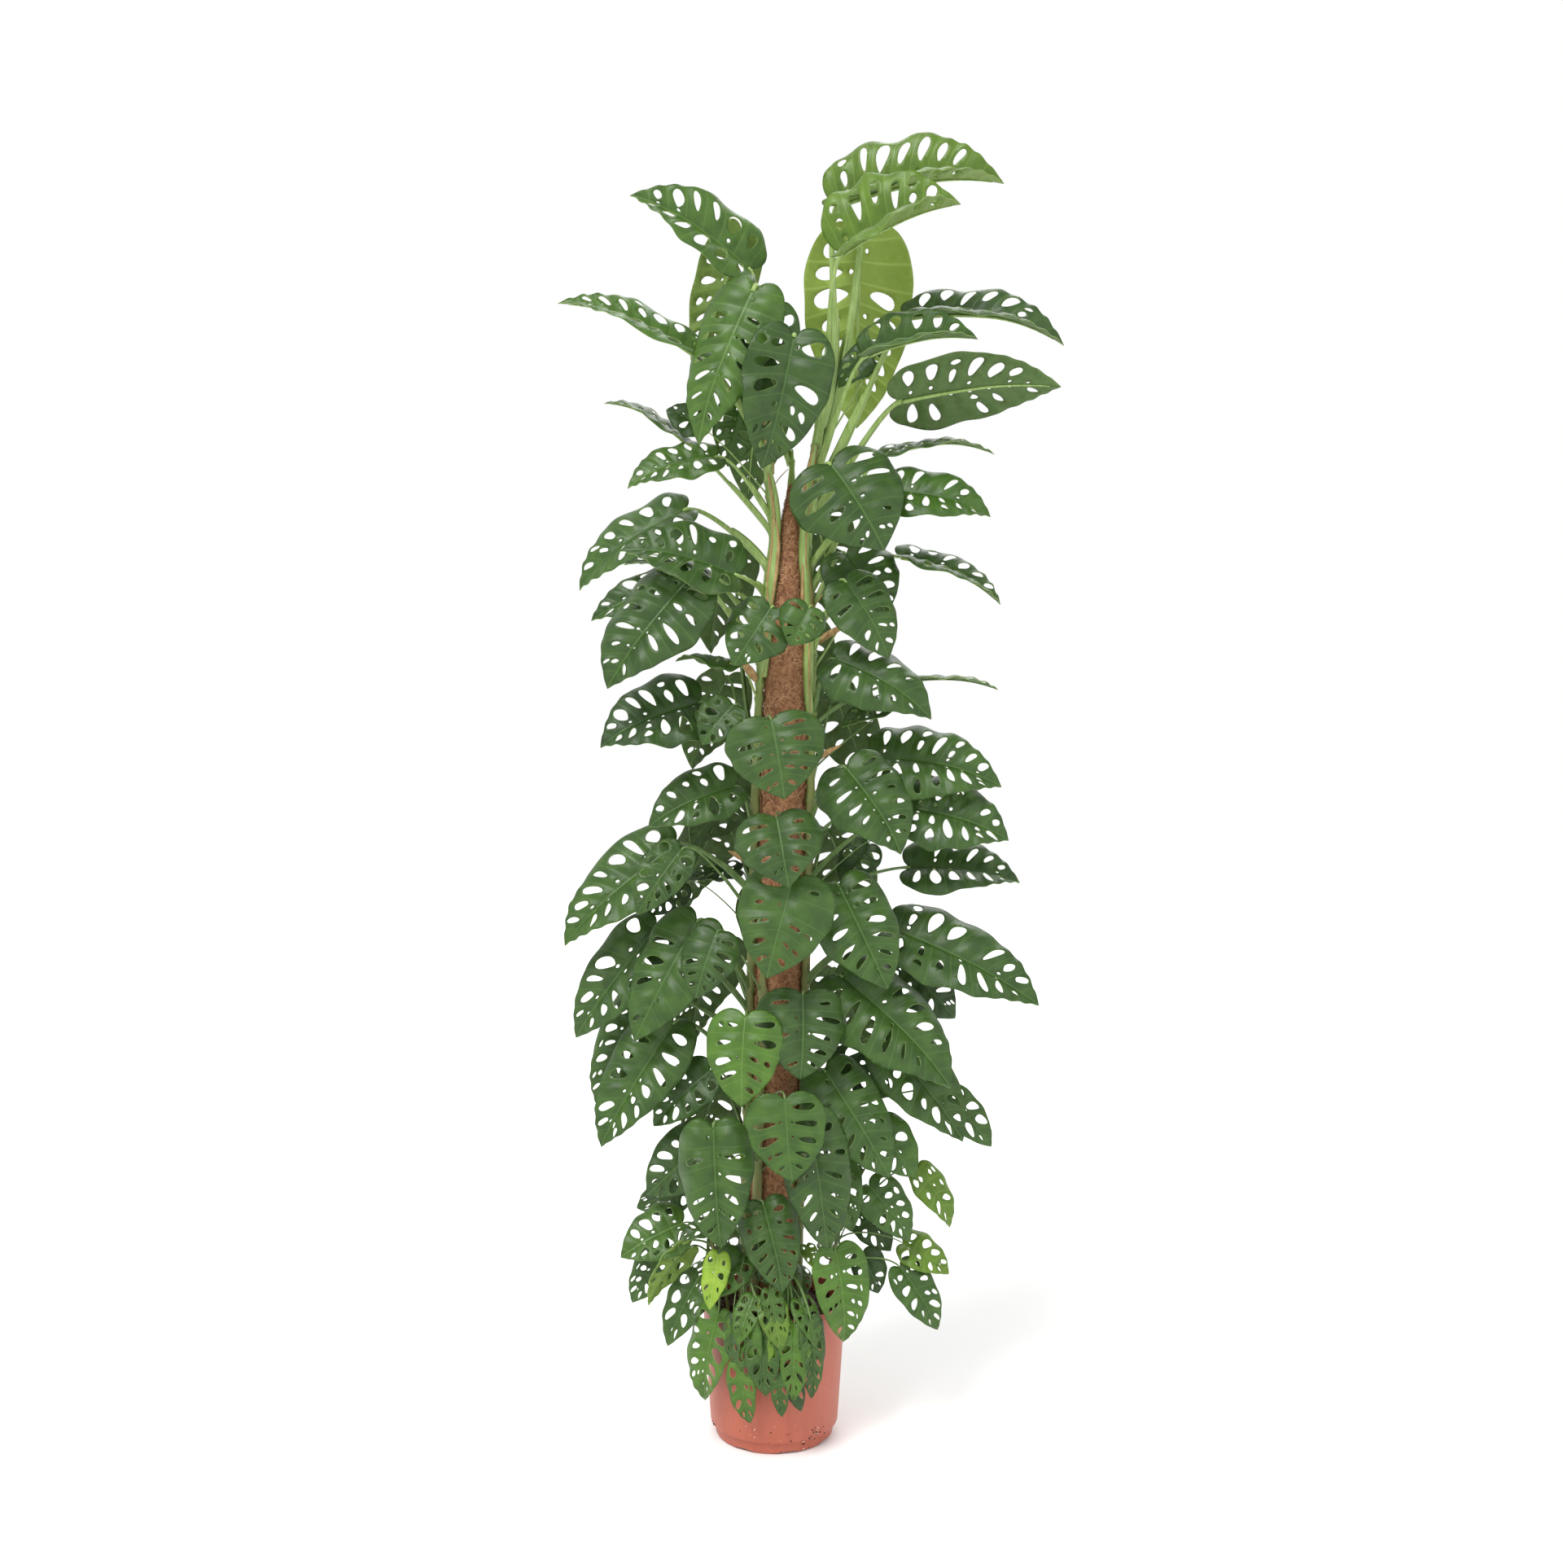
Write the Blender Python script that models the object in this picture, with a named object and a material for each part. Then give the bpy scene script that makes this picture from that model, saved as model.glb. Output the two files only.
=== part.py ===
"""Swiss-cheese monstera (Monstera adansonii) on a coir pole in a plastic nursery pot.

Lengths in the constants are metres. The leaf and stem tables are in centimetres: x to the right,
y to the back, z up from the floor under the pot.
"""
import math

import bmesh
import bpy
import numpy as np
from mathutils import Matrix, Vector

CM = 0.01
GAP = 0.0003

# Pot
POT_HEIGHT = 0.185
POT_TOP_RADIUS = 0.099
POT_LEDGE_RADIUS = 0.0875
POT_BASE_RADIUS = 0.081
POT_LEDGE_HEIGHT = 0.018
POT_WALL = 0.002
POT_LIP = 0.0025
POT_LIP_HEIGHT = 0.008
POT_FLOOR = 0.0075
FOOT_ARCHES = 8
FOOT_ARCH_WIDTH = 0.035
FOOT_ARCH_HEIGHT = 0.004
FOOT_ARCH_LENGTH = 0.022
DRAIN_HOLE_RADIUS = 0.005
DRAIN_RING_RADIUS = 0.055
ROUND_SIDES = 32

# Soil
SOIL_BELOW_RIM = 0.017
SOIL_MOUND = 0.004
ROOT_DEPTH = 0.03

# Moss pole
POLE_RADIUS = 0.032
POLE_TOP = 1.305
POLE_TAPER = 0.345
POLE_FOOT_X = -0.006
POLE_Y = 0.005
POLE_LEAN = math.radians(1.46)
POLE_SIDES = 20
STAKE_RADIUS = 0.012
STAKE_BELOW_TIP = 0.145

# Stems and leaves
VINE_RADIUS = 0.006
SHOOT_RADIUS = 0.003
STEM_STEP = 0.08
STEM_CORE = 0.012
STEM_END_SHARE = 0.45
BLADE_THICKNESS = 0.0016
PETIOLE_RADIUS = 0.0012
PETIOLE_PER_LENGTH = 0.009
DRAWN_POT_HEIGHT = 0.185
DRAWN_TOP_RADIUS = 0.099

SOIL_LEVEL = POT_HEIGHT - SOIL_BELOW_RIM
PLANT_LIFT = POT_HEIGHT - DRAWN_POT_HEIGHT
SHOOT_SPREAD = POT_TOP_RADIUS - DRAWN_TOP_RADIUS
POLE_SHOULDER = POLE_TOP - POLE_TAPER
STAKE_TOP = POLE_TOP - STAKE_BELOW_TIP

# Along the midrib, share of the half width, and where the rim point lies along the leaf
BLADE_STATIONS = (
    (0.03, 0.55, -0.07),
    (0.14, 0.93, 0.03),
    (0.36, 1.00, 0.33),
    (0.64, 0.76, 0.66),
    (0.86, 0.36, 0.88),
)
PETIOLE_STEPS = (0.0, 0.35, 0.66, 0.9)

TONES = {
    "young": (0.160, 0.310, 0.045),
    "lime": (0.300, 0.430, 0.060),
    "fresh": (0.085, 0.230, 0.035),
    "mid": (0.048, 0.155, 0.028),
    "dark": (0.026, 0.092, 0.020),
}

# Stems that climb the pole: height, compass angle round the pole (0 front, 90 right), distance
# that the stem stands off the coir.
CLIMBING_STEMS = {
    "vine_left": ((14, -82, 0), (60, -80, 0), (100, -78, 0), (122, -80, 0.1), (134, -95, 1.6), (146, -100, 2.6), (156.5, -100, 3.0)),
    "vine_right": ((14, 80, 0), (60, 78, 0), (100, 80, 0), (120, 84, 0.1), (132, 95, 1.2), (142, 100, 2.2)),
    "vine_front": ((14, -35, 0), (40, -33, 0), (58, -32, 0), (66, -34, 0.1)),
    "vine_rear": ((14, 175, 0), (60, 172, 0), (100, 174, 0), (124, 176, 0.1), (136, 178, 1.2)),
    "vine_rear_left": ((14, -132, 0), (50, -130, 0), (92, -132, 0)),
    "vine_rear_right": ((14, 130, 0), (50, 132, 0), (90, 131, 0)),
}

# Short shoots that stand in the soil: points of the centre line.
SHOOTS = {
    "shoot_left": ((-6.2, -1.6, 14), (-6.4, -1.8, 18), (-7.6, -2.2, 23), (-9.2, -2.4, 29)),
    "shoot_front_left": ((-3.4, -6.6, 14), (-3.4, -6.7, 18), (-3.7, -6.8, 21), (-4.6, -6.6, 25)),
    "shoot_front_right": ((1.6, -7.0, 14), (1.6, -7.0, 18), (1.8, -7.2, 21), (1.6, -7.4, 25)),
    "shoot_right": ((6.4, -2.4, 14), (6.6, -2.5, 18), (7.8, -2.9, 24), (9.4, -3.0, 30)),
    "shoot_rear": ((-3.6, 7.0, 14), (-3.6, 7.1, 18), (-3.9, 7.4, 22), (-4.4, 7.6, 26)),
}

# Each leaf: node (None where the leaf stays one solid with its stem), stem, height of the petiole's
# foot, base of the blade, tip, width, compass and tilt of the upper side, fold of the halves, tone.
LEAVES = (
    # crown
    ("leaf_crown_01", "vine_right", 139, (9.2, 3.5, 170.5), (31.6, -0.5, 173.3), 17, (0, 45), 38, "young"),
    ("leaf_crown_02", "vine_right", 136, (9.3, -6, 161), (24.6, -9, 167.3), 18, (0, 45), 38, "young"),
    ("leaf_crown_03", "vine_left", 156.3, (-3.6, 1.2, 161), (-19.3, -3, 170.4), 13, (-10, 40), 20, "fresh"),
    ("leaf_crown_04", "vine_left", 140, (-4.6, 5, 166.4), (-11.4, 8, 147.6), 9, (180, 15), 8, "young"),
    ("leaf_crown_05", "vine_right", 133, (12.4, 7, 166.4), (11.4, 9, 139.7), 15.5, (180, 10), 8, "lime"),
    ("leaf_crown_06", "vine_left", 136, (-10, -2, 147.8), (-29, -4, 156), 10, (0, 62), 15, "fresh"),
    ("leaf_crown_07", "vine_left", 154.5, (-2.9, -8, 155.4), (-10.6, -9, 135.1), 12, (-15, 12), -12, "fresh"),
    ("leaf_crown_08", "vine_left", 131, (2.6, -11, 148.6), (-1, -10, 131.3), 12, (5, 5), 10, "dark"),
    ("leaf_crown_09", "vine_right", 128, (19, -1, 153.8), (39.5, -5, 150.9), 12, (0, 60), 25, "mid"),
    ("leaf_crown_10", "vine_right", 125, (17.6, -2, 141.9), (38.8, -4, 144), 12, (170, 45), 10, "mid"),
    ("leaf_crown_11", "vine_right", 122, (7.6, -9, 132), (14.8, -11, 120.8), 16, (5, 20), -8, "mid"),
    ("leaf_crown_12", "vine_right", 119, (15.6, -4, 129.4), (29.2, -6.5, 126.2), 10, (10, 40), 8, "mid"),
    (None, "vine_left", 146, (-0.4, -3.6, 153.8), (-2.9, -5, 136.2), 9, (10, 10), 6, "dark"),
    (None, "vine_left", 126, (-8.2, -2, 134.2), (-20.2, -4, 130.7), 9, (0, 50), 8, "fresh"),
    (None, "vine_left", 129, (-10, 0, 138.5), (-15, 1, 141.5), 5.5, (0, 30), 8, "mid"),
    (None, "vine_left", 124, (-12.5, 2, 137), (-23.3, 3, 143.4), 8, (0, 80), 6, "mid"),
    (None, "vine_left", 133, (-4.5, 1.5, 142), (-6.5, 2, 133.4), 7, (0, 15), 6, "mid"),
    (None, "vine_right", 131, (12.7, -6.5, 147.2), (27, -8.5, 149.8), 10, (0, 48), 40, "mid"),
    (None, "vine_right", 135, (14, 1, 149.5), (8.7, 1, 144.5), 5, (0, 20), 8, "mid"),
    (None, "vine_right", 116, (15, 0, 134.8), (30.2, -1, 136.3), 8, (0, 72), 6, "mid"),
    # upper
    ("leaf_upper_01", "vine_left", 119, (-12.9, 4, 127.5), (-28.2, 4, 117.3), 12, (-30, 40), 6, "mid"),
    ("leaf_upper_02", "vine_left", 115, (-5.4, -6, 117.8), (-20.4, -7.5, 121.7), 13, (-10, 45), 15, "mid"),
    ("leaf_upper_03", "vine_left", 106, (-11.5, -8, 116.8), (-22.2, -10.5, 102.5), 13, (-15, 25), -6, "mid"),
    (None, "vine_left", 103, (-0.5, -8, 113), (-5.3, -9, 105.3), 9.5, (-10, 15), -8, "mid"),
    ("leaf_upper_04", "vine_left", 96, (-10.4, -3, 100.5), (-23.6, -6, 95.1), 13, (-15, 35), 8, "dark"),
    ("leaf_upper_05", "vine_left", 91, (-0.4, -12, 98.1), (1.6, -14, 88), 14, (0, 20), -8, "mid"),
    ("leaf_upper_06", "vine_right", 110, (17.7, 0, 120.7), (31.6, -1, 114.9), 9, (0, 68), 15, "mid"),
    ("leaf_upper_07", "vine_right", 107, (9.7, -7, 116.6), (15.7, -8, 106.6), 10, (10, 25), -6, "mid"),
    ("leaf_upper_08", "vine_right", 99, (8.3, -5, 106.4), (21.3, -9, 99.3), 11, (10, 35), -8, "mid"),
    (None, "vine_left", 112, (-9, -2, 118), (-20.5, -2.5, 120), 6, (0, 70), 6, "dark"),
    (None, "vine_left", 109.5, (-10.5, -1, 118), (-25.3, -2, 112.1), 8, (-10, 40), 6, "mid"),
    (None, "vine_left", 101, (-5, -2, 105.8), (-13.5, -2, 106.6), 7, (0, 88), -10, "mid"),
    (None, "vine_left", 93, (-5.6, -7.5, 100), (-9.7, -9, 95), 7, (-10, 20), 6, "mid"),
    (None, "vine_right", 113.5, (10, -1, 121), (15.4, -3, 112.5), 11, (15, 20), 6, "mid"),
    (None, "vine_right", 104, (4.6, -9, 113), (2, -10, 108), 7, (10, 10), -10, "mid"),
    (None, "vine_right", 105, (12.5, -2, 118), (9, -2, 112), 6, (-10, 20), 6, "mid"),
    (None, "vine_right", 97, (19, 0, 103.6), (30.9, -1, 102.7), 8, (0, 89), 6, "mid"),
    (None, "vine_right", 95, (7.5, 3, 103), (12, 4, 100), 5, (180, 20), 6, "dark"),
    (None, "vine_right", 91, (16, -1, 100.5), (9, -2, 97.5), 4.5, (0, 50), 6, "dark"),
    # middle
    ("leaf_middle_01", "vine_left", 83, (-5.4, -3, 89.1), (-17.3, -5, 84.4), 10, (-10, 35), 8, "mid"),
    ("leaf_middle_02", "vine_right", 79, (0.3, -12, 85.3), (1.9, -15.5, 76.8), 12, (0, 22), -8, "mid"),
    ("leaf_middle_03", "vine_left", 74, (-13.8, -3, 80.8), (-28.5, -6, 67.9), 12, (-20, 35), 8, "mid"),
    (None, "vine_left", 71, (-12.5, -8, 80.7), (-18.3, -10, 72.4), 7, (-10, 20), 8, "mid"),
    ("leaf_middle_04", "vine_right", 87, (14, -1, 93), (31.1, -4, 90.2), 13, (10, 40), 6, "mid"),
    ("leaf_middle_05", "vine_right", 84, (9.7, -8, 91.6), (17.2, -11, 80.9), 13, (10, 25), -8, "mid"),
    ("leaf_middle_06", "vine_right", 76, (18.7, -4, 86.2), (31.8, -6, 82.5), 12, (10, 35), 6, "mid"),
    ("leaf_middle_07", "vine_right", 72, (19, 1, 77.6), (33.9, -1, 76.4), 11, (0, 48), 8, "mid"),
    ("leaf_middle_08", "vine_right", 69, (8.7, -8, 75.9), (14.8, -11, 62.6), 12, (5, 25), -8, "mid"),
    ("leaf_middle_09", "vine_left", 67, (2.5, -12.5, 77.3), (-1.1, -15, 64.8), 12.5, (0, 22), -8, "fresh"),
    ("leaf_middle_10", "vine_right", 62, (16.8, -3, 69.4), (35.7, -7, 60), 13, (15, 40), 6, "mid"),
    (None, "vine_left", 86, (-4.6, 3, 87.5), (-12.2, 4, 80.7), 8, (200, 20), 6, "dark"),
    (None, "vine_left", 69, (-12.8, 0, 75.5), (-18, 0, 71.2), 5.5, (0, 10), 6, "dark"),
    (None, "vine_left", 72, (-5, 3, 77), (-12.8, 3, 75.4), 6, (0, 70), 6, "dark"),
    (None, "vine_right", 81, (17, 2, 88), (27.2, 1, 87), 8, (180, 45), 6, "fresh"),
    (None, "vine_right", 74, (13.2, 3, 80.6), (9.4, 3, 75), 6, (0, 35), 6, "dark"),
    # lower
    ("leaf_lower_01", "vine_right", 56, (9.3, -6, 63.5), (24, -10, 50), 13, (10, 30), -8, "mid"),
    ("leaf_lower_02", "vine_right", 49, (15.4, -2, 53.9), (26, -5, 41.3), 11, (10, 25), 6, "mid"),
    ("leaf_lower_03", "vine_right", 44, (7, -6.8, 50.8), (15.4, -9.5, 37.4), 10.5, (10, 22), -6, "mid"),
    ("leaf_lower_04", "vine_front", 43, (1.4, -14, 48.8), (2.1, -15, 38.3), 11, (0, 22), -8, "mid"),
    ("leaf_lower_05", "vine_right", 52, (3.8, -10, 61.7), (3.7, -12, 50.9), 12, (5, 18), -8, "mid"),
    ("leaf_lower_06", "vine_front", 52, (-3.8, -12, 59.2), (-4.5, -14, 47.8), 10.5, (-8, 20), -8, "fresh"),
    ("leaf_lower_07", "vine_front", 61, (-7.7, -9, 69.7), (-10.5, -11, 61.5), 8, (-10, 20), -6, "mid"),
    ("leaf_lower_08", "vine_left", 61, (-10.5, -6, 70.8), (-18.5, -9, 55.3), 11, (-12, 22), -8, "mid"),
    ("leaf_lower_09", "vine_left", 58, (-16.4, -2, 69.3), (-27.2, -4, 54.8), 10, (-15, 25), 6, "mid"),
    ("leaf_lower_10", "vine_left", 49, (-13.8, -4, 56.7), (-23.5, -6, 40.5), 11, (-15, 20), 6, "mid"),
    ("leaf_lower_11", "vine_front", 38, (-8, -12, 44.6), (-7, -13, 29), 10, (-5, 18), -8, "mid"),
    (None, "vine_left", 53, (-18, 1, 60), (-24.9, 0, 44.4), 8, (-20, 15), 6, "mid"),
    (None, "vine_left", 44, (-8.8, -5, 50.6), (-16.5, -6, 43.5), 7, (-10, 25), 6, "dark"),
    (None, "vine_left", 35, (-9.3, -4, 41), (-17.2, -5, 33.5), 9, (-10, 25), 6, "mid"),
    (None, "vine_right", 59, (17, 0, 64.5), (25.3, -1, 57.2), 8.5, (10, 20), 6, "dark"),
    (None, "vine_right", 40, (24, 1, 46), (30.3, 0, 39), 5.5, (10, 20), 6, "mid"),
    (None, "vine_right", 46, (7, -2, 52.9), (16, -4, 46.9), 8, (0, 30), 6, "dark"),
    (None, "vine_right", 36, (13.8, -4, 43), (19.1, -5, 36.1), 7, (10, 25), 6, "mid"),
    # round the pot
    ("leaf_base_01", "vine_front", 27, (-1.4, -10, 34), (1.5, -12, 23.1), 8.5, (0, 20), -8, "mid"),
    ("leaf_base_02", "vine_right", 38, (4.6, -11.5, 45.4), (7.3, -12.5, 28.4), 9, (5, 18), -6, "mid"),
    (None, "shoot_right", 25, (8.2, -9, 27.5), (9.8, -9.5, 15.4), 8, (15, 15), 6, "fresh"),
    (None, "shoot_left", 22, (-7.5, -8, 18.9), (-9.5, -7.5, 6.8), 8, (-42, 10), 6, "fresh"),
    (None, "shoot_left", 28, (-12.5, -4, 29.7), (-20.8, -6, 25.9), 8, (-15, 35), 6, "fresh"),
    (None, "shoot_left", 26, (-14.4, -2, 25.7), (-19.6, -3, 18.5), 6, (-15, 20), 6, "mid"),
    (None, "shoot_left", 24, (-11.5, -6, 27), (-17.2, -8, 20.3), 5, (-150, 20), 6, "young"),
    (None, "shoot_left", 21, (-10.3, -4, 22.3), (-14.6, -6, 13.8), 6, (-20, 20), 6, "mid"),
    (None, "shoot_left", 28.5, (-12, 0, 33), (-19.1, 0, 30.5), 6, (-20, 45), 6, "mid"),
    (None, "shoot_front_left", 24, (-7.4, -9, 27), (-8.5, -11, 20.4), 3.8, (-10, 15), 10, "lime"),
    (None, "shoot_front_left", 23, (-4.4, -7.4, 26.3), (-8.6, -9, 21.2), 6, (-10, 25), 6, "mid"),
    (None, "shoot_front_left", 23, (-3.5, -11.4, 15.8), (-0.4, -11.6, 10.1), 4.5, (-5, 5), 6, "mid"),
    (None, "shoot_front_left", 22.5, (-4.6, -11.2, 13.3), (-3.4, -11.4, 5.3), 4, (-15, 5), 6, "fresh"),
    (None, "shoot_front_right", 23.5, (0.5, -12.4, 12.6), (1.1, -12.2, 6.6), 2.5, (0, 5), 6, "mid"),
    (None, "shoot_front_right", 23, (2.2, -11.8, 13.2), (3.4, -11.4, 7), 2.8, (0, 5), 6, "dark"),
    (None, "shoot_front_right", 24, (4.8, -11.2, 19), (4.9, -11.2, 8.6), 3.8, (15, 5), 6, "mid"),
    (None, "shoot_front_right", 24.5, (-0.6, -10.4, 22.8), (0.8, -11.8, 17.6), 3.2, (0, 20), 6, "fresh"),
    (None, "shoot_right", 29, (8.2, -6, 39), (10.3, -8, 29.6), 6, (5, 20), 6, "mid"),
    (None, "shoot_right", 28.5, (12.9, -5, 35), (18.6, -6, 28.1), 7, (15, 25), 6, "mid"),
    (None, "shoot_right", 29, (20, 0, 35.8), (24.9, -1, 28.5), 5.5, (30, 30), 6, "young"),
    (None, "shoot_right", 27, (17.8, -2, 26.3), (24, -3, 22.6), 6, (20, 45), 6, "young"),
    (None, "shoot_right", 23, (17.2, -4, 23.6), (22.6, -5, 15.6), 6, (15, 25), 6, "mid"),
    (None, "shoot_right", 22, (12.1, -3, 25.3), (14.3, -4, 20.1), 5, (10, 20), 6, "dark"),
    (None, "shoot_right", 26, (12, 0, 30), (16, -1, 24.8), 5.5, (0, 30), 6, "mid"),
    # back of the plant
    (None, "vine_rear", 134, (-2, 8, 146), (-4, 13, 130), 10, (185, 20), -6, "mid"),
    (None, "vine_rear", 116, (6, 9, 128), (9, 14, 113), 11, (170, 22), -6, "mid"),
    (None, "vine_rear", 99, (3, 10, 112), (3, 15, 97), 12, (180, 22), -6, "mid"),
    (None, "vine_rear", 82, (0, 10, 94), (-1, 15, 80), 12, (180, 22), -6, "mid"),
    (None, "vine_rear", 63, (0, 11, 74), (1, 16, 59), 12, (180, 22), -6, "mid"),
    (None, "vine_rear", 44, (0, 11, 54), (-1, 15, 40), 11, (180, 22), -6, "mid"),
    (None, "vine_rear", 29, (1, 11, 36), (2, 13, 24), 9, (180, 22), -6, "mid"),
    (None, "vine_rear_left", 91, (-6, 8, 122), (-10, 13, 108), 10, (200, 22), -6, "mid"),
    (None, "vine_rear_left", 88, (-7, 8, 104), (-12, 12, 91), 10, (205, 22), -6, "mid"),
    (None, "vine_rear_left", 73, (-8, 8, 84), (-14, 12, 70), 10, (205, 22), -6, "mid"),
    (None, "vine_rear_left", 56, (-8, 9, 66), (-13, 13, 51), 11, (205, 22), -6, "mid"),
    (None, "vine_rear_left", 37, (-8, 9, 46), (-12, 12, 33), 9, (205, 22), -6, "mid"),
    (None, "vine_rear_right", 86, (9, 9, 101), (14, 13, 88), 11, (155, 22), -6, "mid"),
    (None, "vine_rear_right", 70, (8, 9, 82), (13, 13, 67), 11, (155, 22), -6, "mid"),
    (None, "vine_rear_right", 51, (9, 9, 62), (14, 12, 48), 11, (155, 22), -6, "mid"),
    (None, "vine_rear_right", 34, (8, 9, 44), (12, 11, 31), 9, (155, 22), -6, "mid"),
    (None, "shoot_rear", 23, (-6.5, 11, 25), (-8, 12.5, 14), 6, (205, 15), 6, "mid"),
    (None, "shoot_rear", 24, (-2.5, 12, 27), (-2, 13.5, 16), 5.5, (180, 15), 6, "fresh"),
)


def clear_scene():
    for item in list(bpy.data.objects):
        bpy.data.objects.remove(item, do_unlink=True)


def material(name, colour, roughness, metallic=0.0):
    paint = bpy.data.materials.new(name)
    paint.use_nodes = True
    shader = paint.node_tree.nodes["Principled BSDF"]
    shader.inputs["Base Color"].default_value = (*colour, 1.0)
    shader.inputs["Roughness"].default_value = roughness
    shader.inputs["Metallic"].default_value = metallic
    return paint


def as_object(name, bm, paint=None):
    bmesh.ops.recalc_face_normals(bm, faces=bm.faces)
    mesh = bpy.data.meshes.new(name)
    bm.to_mesh(mesh)
    bm.free()
    item = bpy.data.objects.new(name, mesh)
    bpy.context.scene.collection.objects.link(item)
    if paint:
        mesh.materials.append(paint)
    return item


def as_guide(item):
    item.hide_render = True
    item.display_type = "WIRE"


def boolean(item, operation, guides):
    """Cuts or joins every guide to the object, all in one exact step."""
    group = bpy.data.collections.new(item.name + "_" + operation.lower())
    for guide in guides:
        as_guide(guide)
        group.objects.link(guide)
    step = item.modifiers.new(operation.lower(), "BOOLEAN")
    step.operation = operation
    step.operand_type = "COLLECTION"
    step.collection = group
    step.solver = "EXACT"


def turned(name, profile, sides, paint=None):
    """Closed solid of revolution; a run of the outline along the axis needs no skin."""
    bm = bmesh.new()
    points = [bm.verts.new((radius, 0.0, height)) for radius, height in profile]
    pairs = zip(points, points[1:] + points[:1])
    edges = [bm.edges.new(pair) for pair in pairs if pair[0].co.x + pair[1].co.x > 0.0]
    bmesh.ops.spin(
        bm, geom=points + edges, cent=(0, 0, 0), axis=(0, 0, 1), angle=math.tau, steps=sides, use_merge=True
    )
    bmesh.ops.remove_doubles(bm, verts=bm.verts, dist=0.00005)
    return as_object(name, bm, paint)


def loft(bm, rings, tip=None):
    """Skins equal rings of points. Both skins of a blade get the same diagonals, so they never cross."""
    loops = [[bm.verts.new(point) for point in ring] for ring in rings]
    count = len(loops[0])
    for lower, upper in zip(loops, loops[1:]):
        for k in range(count):
            a, b = lower[k], lower[(k + 1) % count]
            d, c = upper[k], upper[(k + 1) % count]
            if k % 2 == 0:
                bm.faces.new((a, b, c))
                bm.faces.new((a, c, d))
            else:
                bm.faces.new((a, b, d))
                bm.faces.new((b, c, d))
    bm.faces.new(loops[0])
    if tip is None:
        bm.faces.new(loops[-1])
        return
    end = bm.verts.new(tip)
    for k in range(count):
        bm.faces.new((loops[-1][k], loops[-1][(k + 1) % count], end))


def pot_inner_radius(height):
    """Radius inside the wall at a height above the ledge."""
    share = (height - POT_LEDGE_HEIGHT) / (POT_HEIGHT - POT_LEDGE_HEIGHT)
    return POT_LEDGE_RADIUS + (POT_TOP_RADIUS - POT_LEDGE_RADIUS) * share - POT_WALL


def make_pot():
    lip = POT_TOP_RADIUS + POT_LIP
    lip_foot = POT_HEIGHT - POT_LIP_HEIGHT
    profile = (
        (0.0, 0.0),
        (POT_BASE_RADIUS - 0.004, 0.0),
        (POT_BASE_RADIUS, 0.004),
        (POT_BASE_RADIUS + 0.0005, POT_LEDGE_HEIGHT - 0.003),
        (POT_LEDGE_RADIUS, POT_LEDGE_HEIGHT),
        (pot_inner_radius(lip_foot) + POT_WALL, lip_foot),
        (lip, lip_foot + 0.001),
        (lip, POT_HEIGHT - 0.001),
        (lip - 0.001, POT_HEIGHT),
        (POT_TOP_RADIUS - POT_WALL, POT_HEIGHT),
        (pot_inner_radius(POT_LEDGE_HEIGHT + 0.001), POT_LEDGE_HEIGHT + 0.001),
        (POT_BASE_RADIUS - POT_WALL, POT_LEDGE_HEIGHT - 0.002),
        (POT_BASE_RADIUS - POT_WALL - 0.002, POT_FLOOR),
        (0.0, POT_FLOOR),
    )
    pot = turned("pot", profile, ROUND_SIDES, material("pot_plastic", (0.48, 0.115, 0.075), 0.45))
    cutters = []
    for k in range(FOOT_ARCHES):
        turn = Matrix.Rotation(math.tau * (k + 0.3) / FOOT_ARCHES - math.pi / 2, 4, "Z")
        bm = bmesh.new()
        bmesh.ops.create_cone(
            bm, cap_ends=True, segments=12, radius1=FOOT_ARCH_WIDTH / 2, radius2=FOOT_ARCH_WIDTH / 2,
            depth=2 * FOOT_ARCH_LENGTH,
            matrix=turn @ Matrix.Translation((POT_BASE_RADIUS, 0, 0)) @ Matrix.Scale(
                2 * FOOT_ARCH_HEIGHT / FOOT_ARCH_WIDTH, 4, (0, 0, 1)) @ Matrix.Rotation(math.pi / 2, 4, "Y"),
        )
        cutters.append(as_object("foot_arch_cutter", bm))
        turn = Matrix.Rotation(math.tau * (k + 0.8) / FOOT_ARCHES - math.pi / 2, 4, "Z")
        bm = bmesh.new()
        bmesh.ops.create_cone(
            bm, cap_ends=True, segments=8, radius1=DRAIN_HOLE_RADIUS, radius2=DRAIN_HOLE_RADIUS,
            depth=4 * POT_FLOOR, matrix=turn @ Matrix.Translation((DRAIN_RING_RADIUS, 0, 0)),
        )
        cutters.append(as_object("drain_hole_cutter", bm))
    boolean(pot, "DIFFERENCE", cutters)


def pole_radius(height):
    """Outer radius of the coir: even up to the shoulder, then drawn in to a blunt tip."""
    if height <= POLE_SHOULDER:
        return POLE_RADIUS
    share = min(1.0, (height - POLE_SHOULDER) / (POLE_TOP - POLE_SHOULDER))
    return POLE_RADIUS * (1.0 - 0.30 * share - 0.62 * share ** 3)


def pole_axis(height):
    x = POLE_FOOT_X + (height - SOIL_LEVEL) * math.tan(POLE_LEAN)
    return Vector((x, POLE_Y, height))


def lean_with_pole(item):
    foot = pole_axis(0.0)
    item.matrix_world = Matrix.Translation(foot) @ Matrix.Rotation(POLE_LEAN, 4, "Y")


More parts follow.
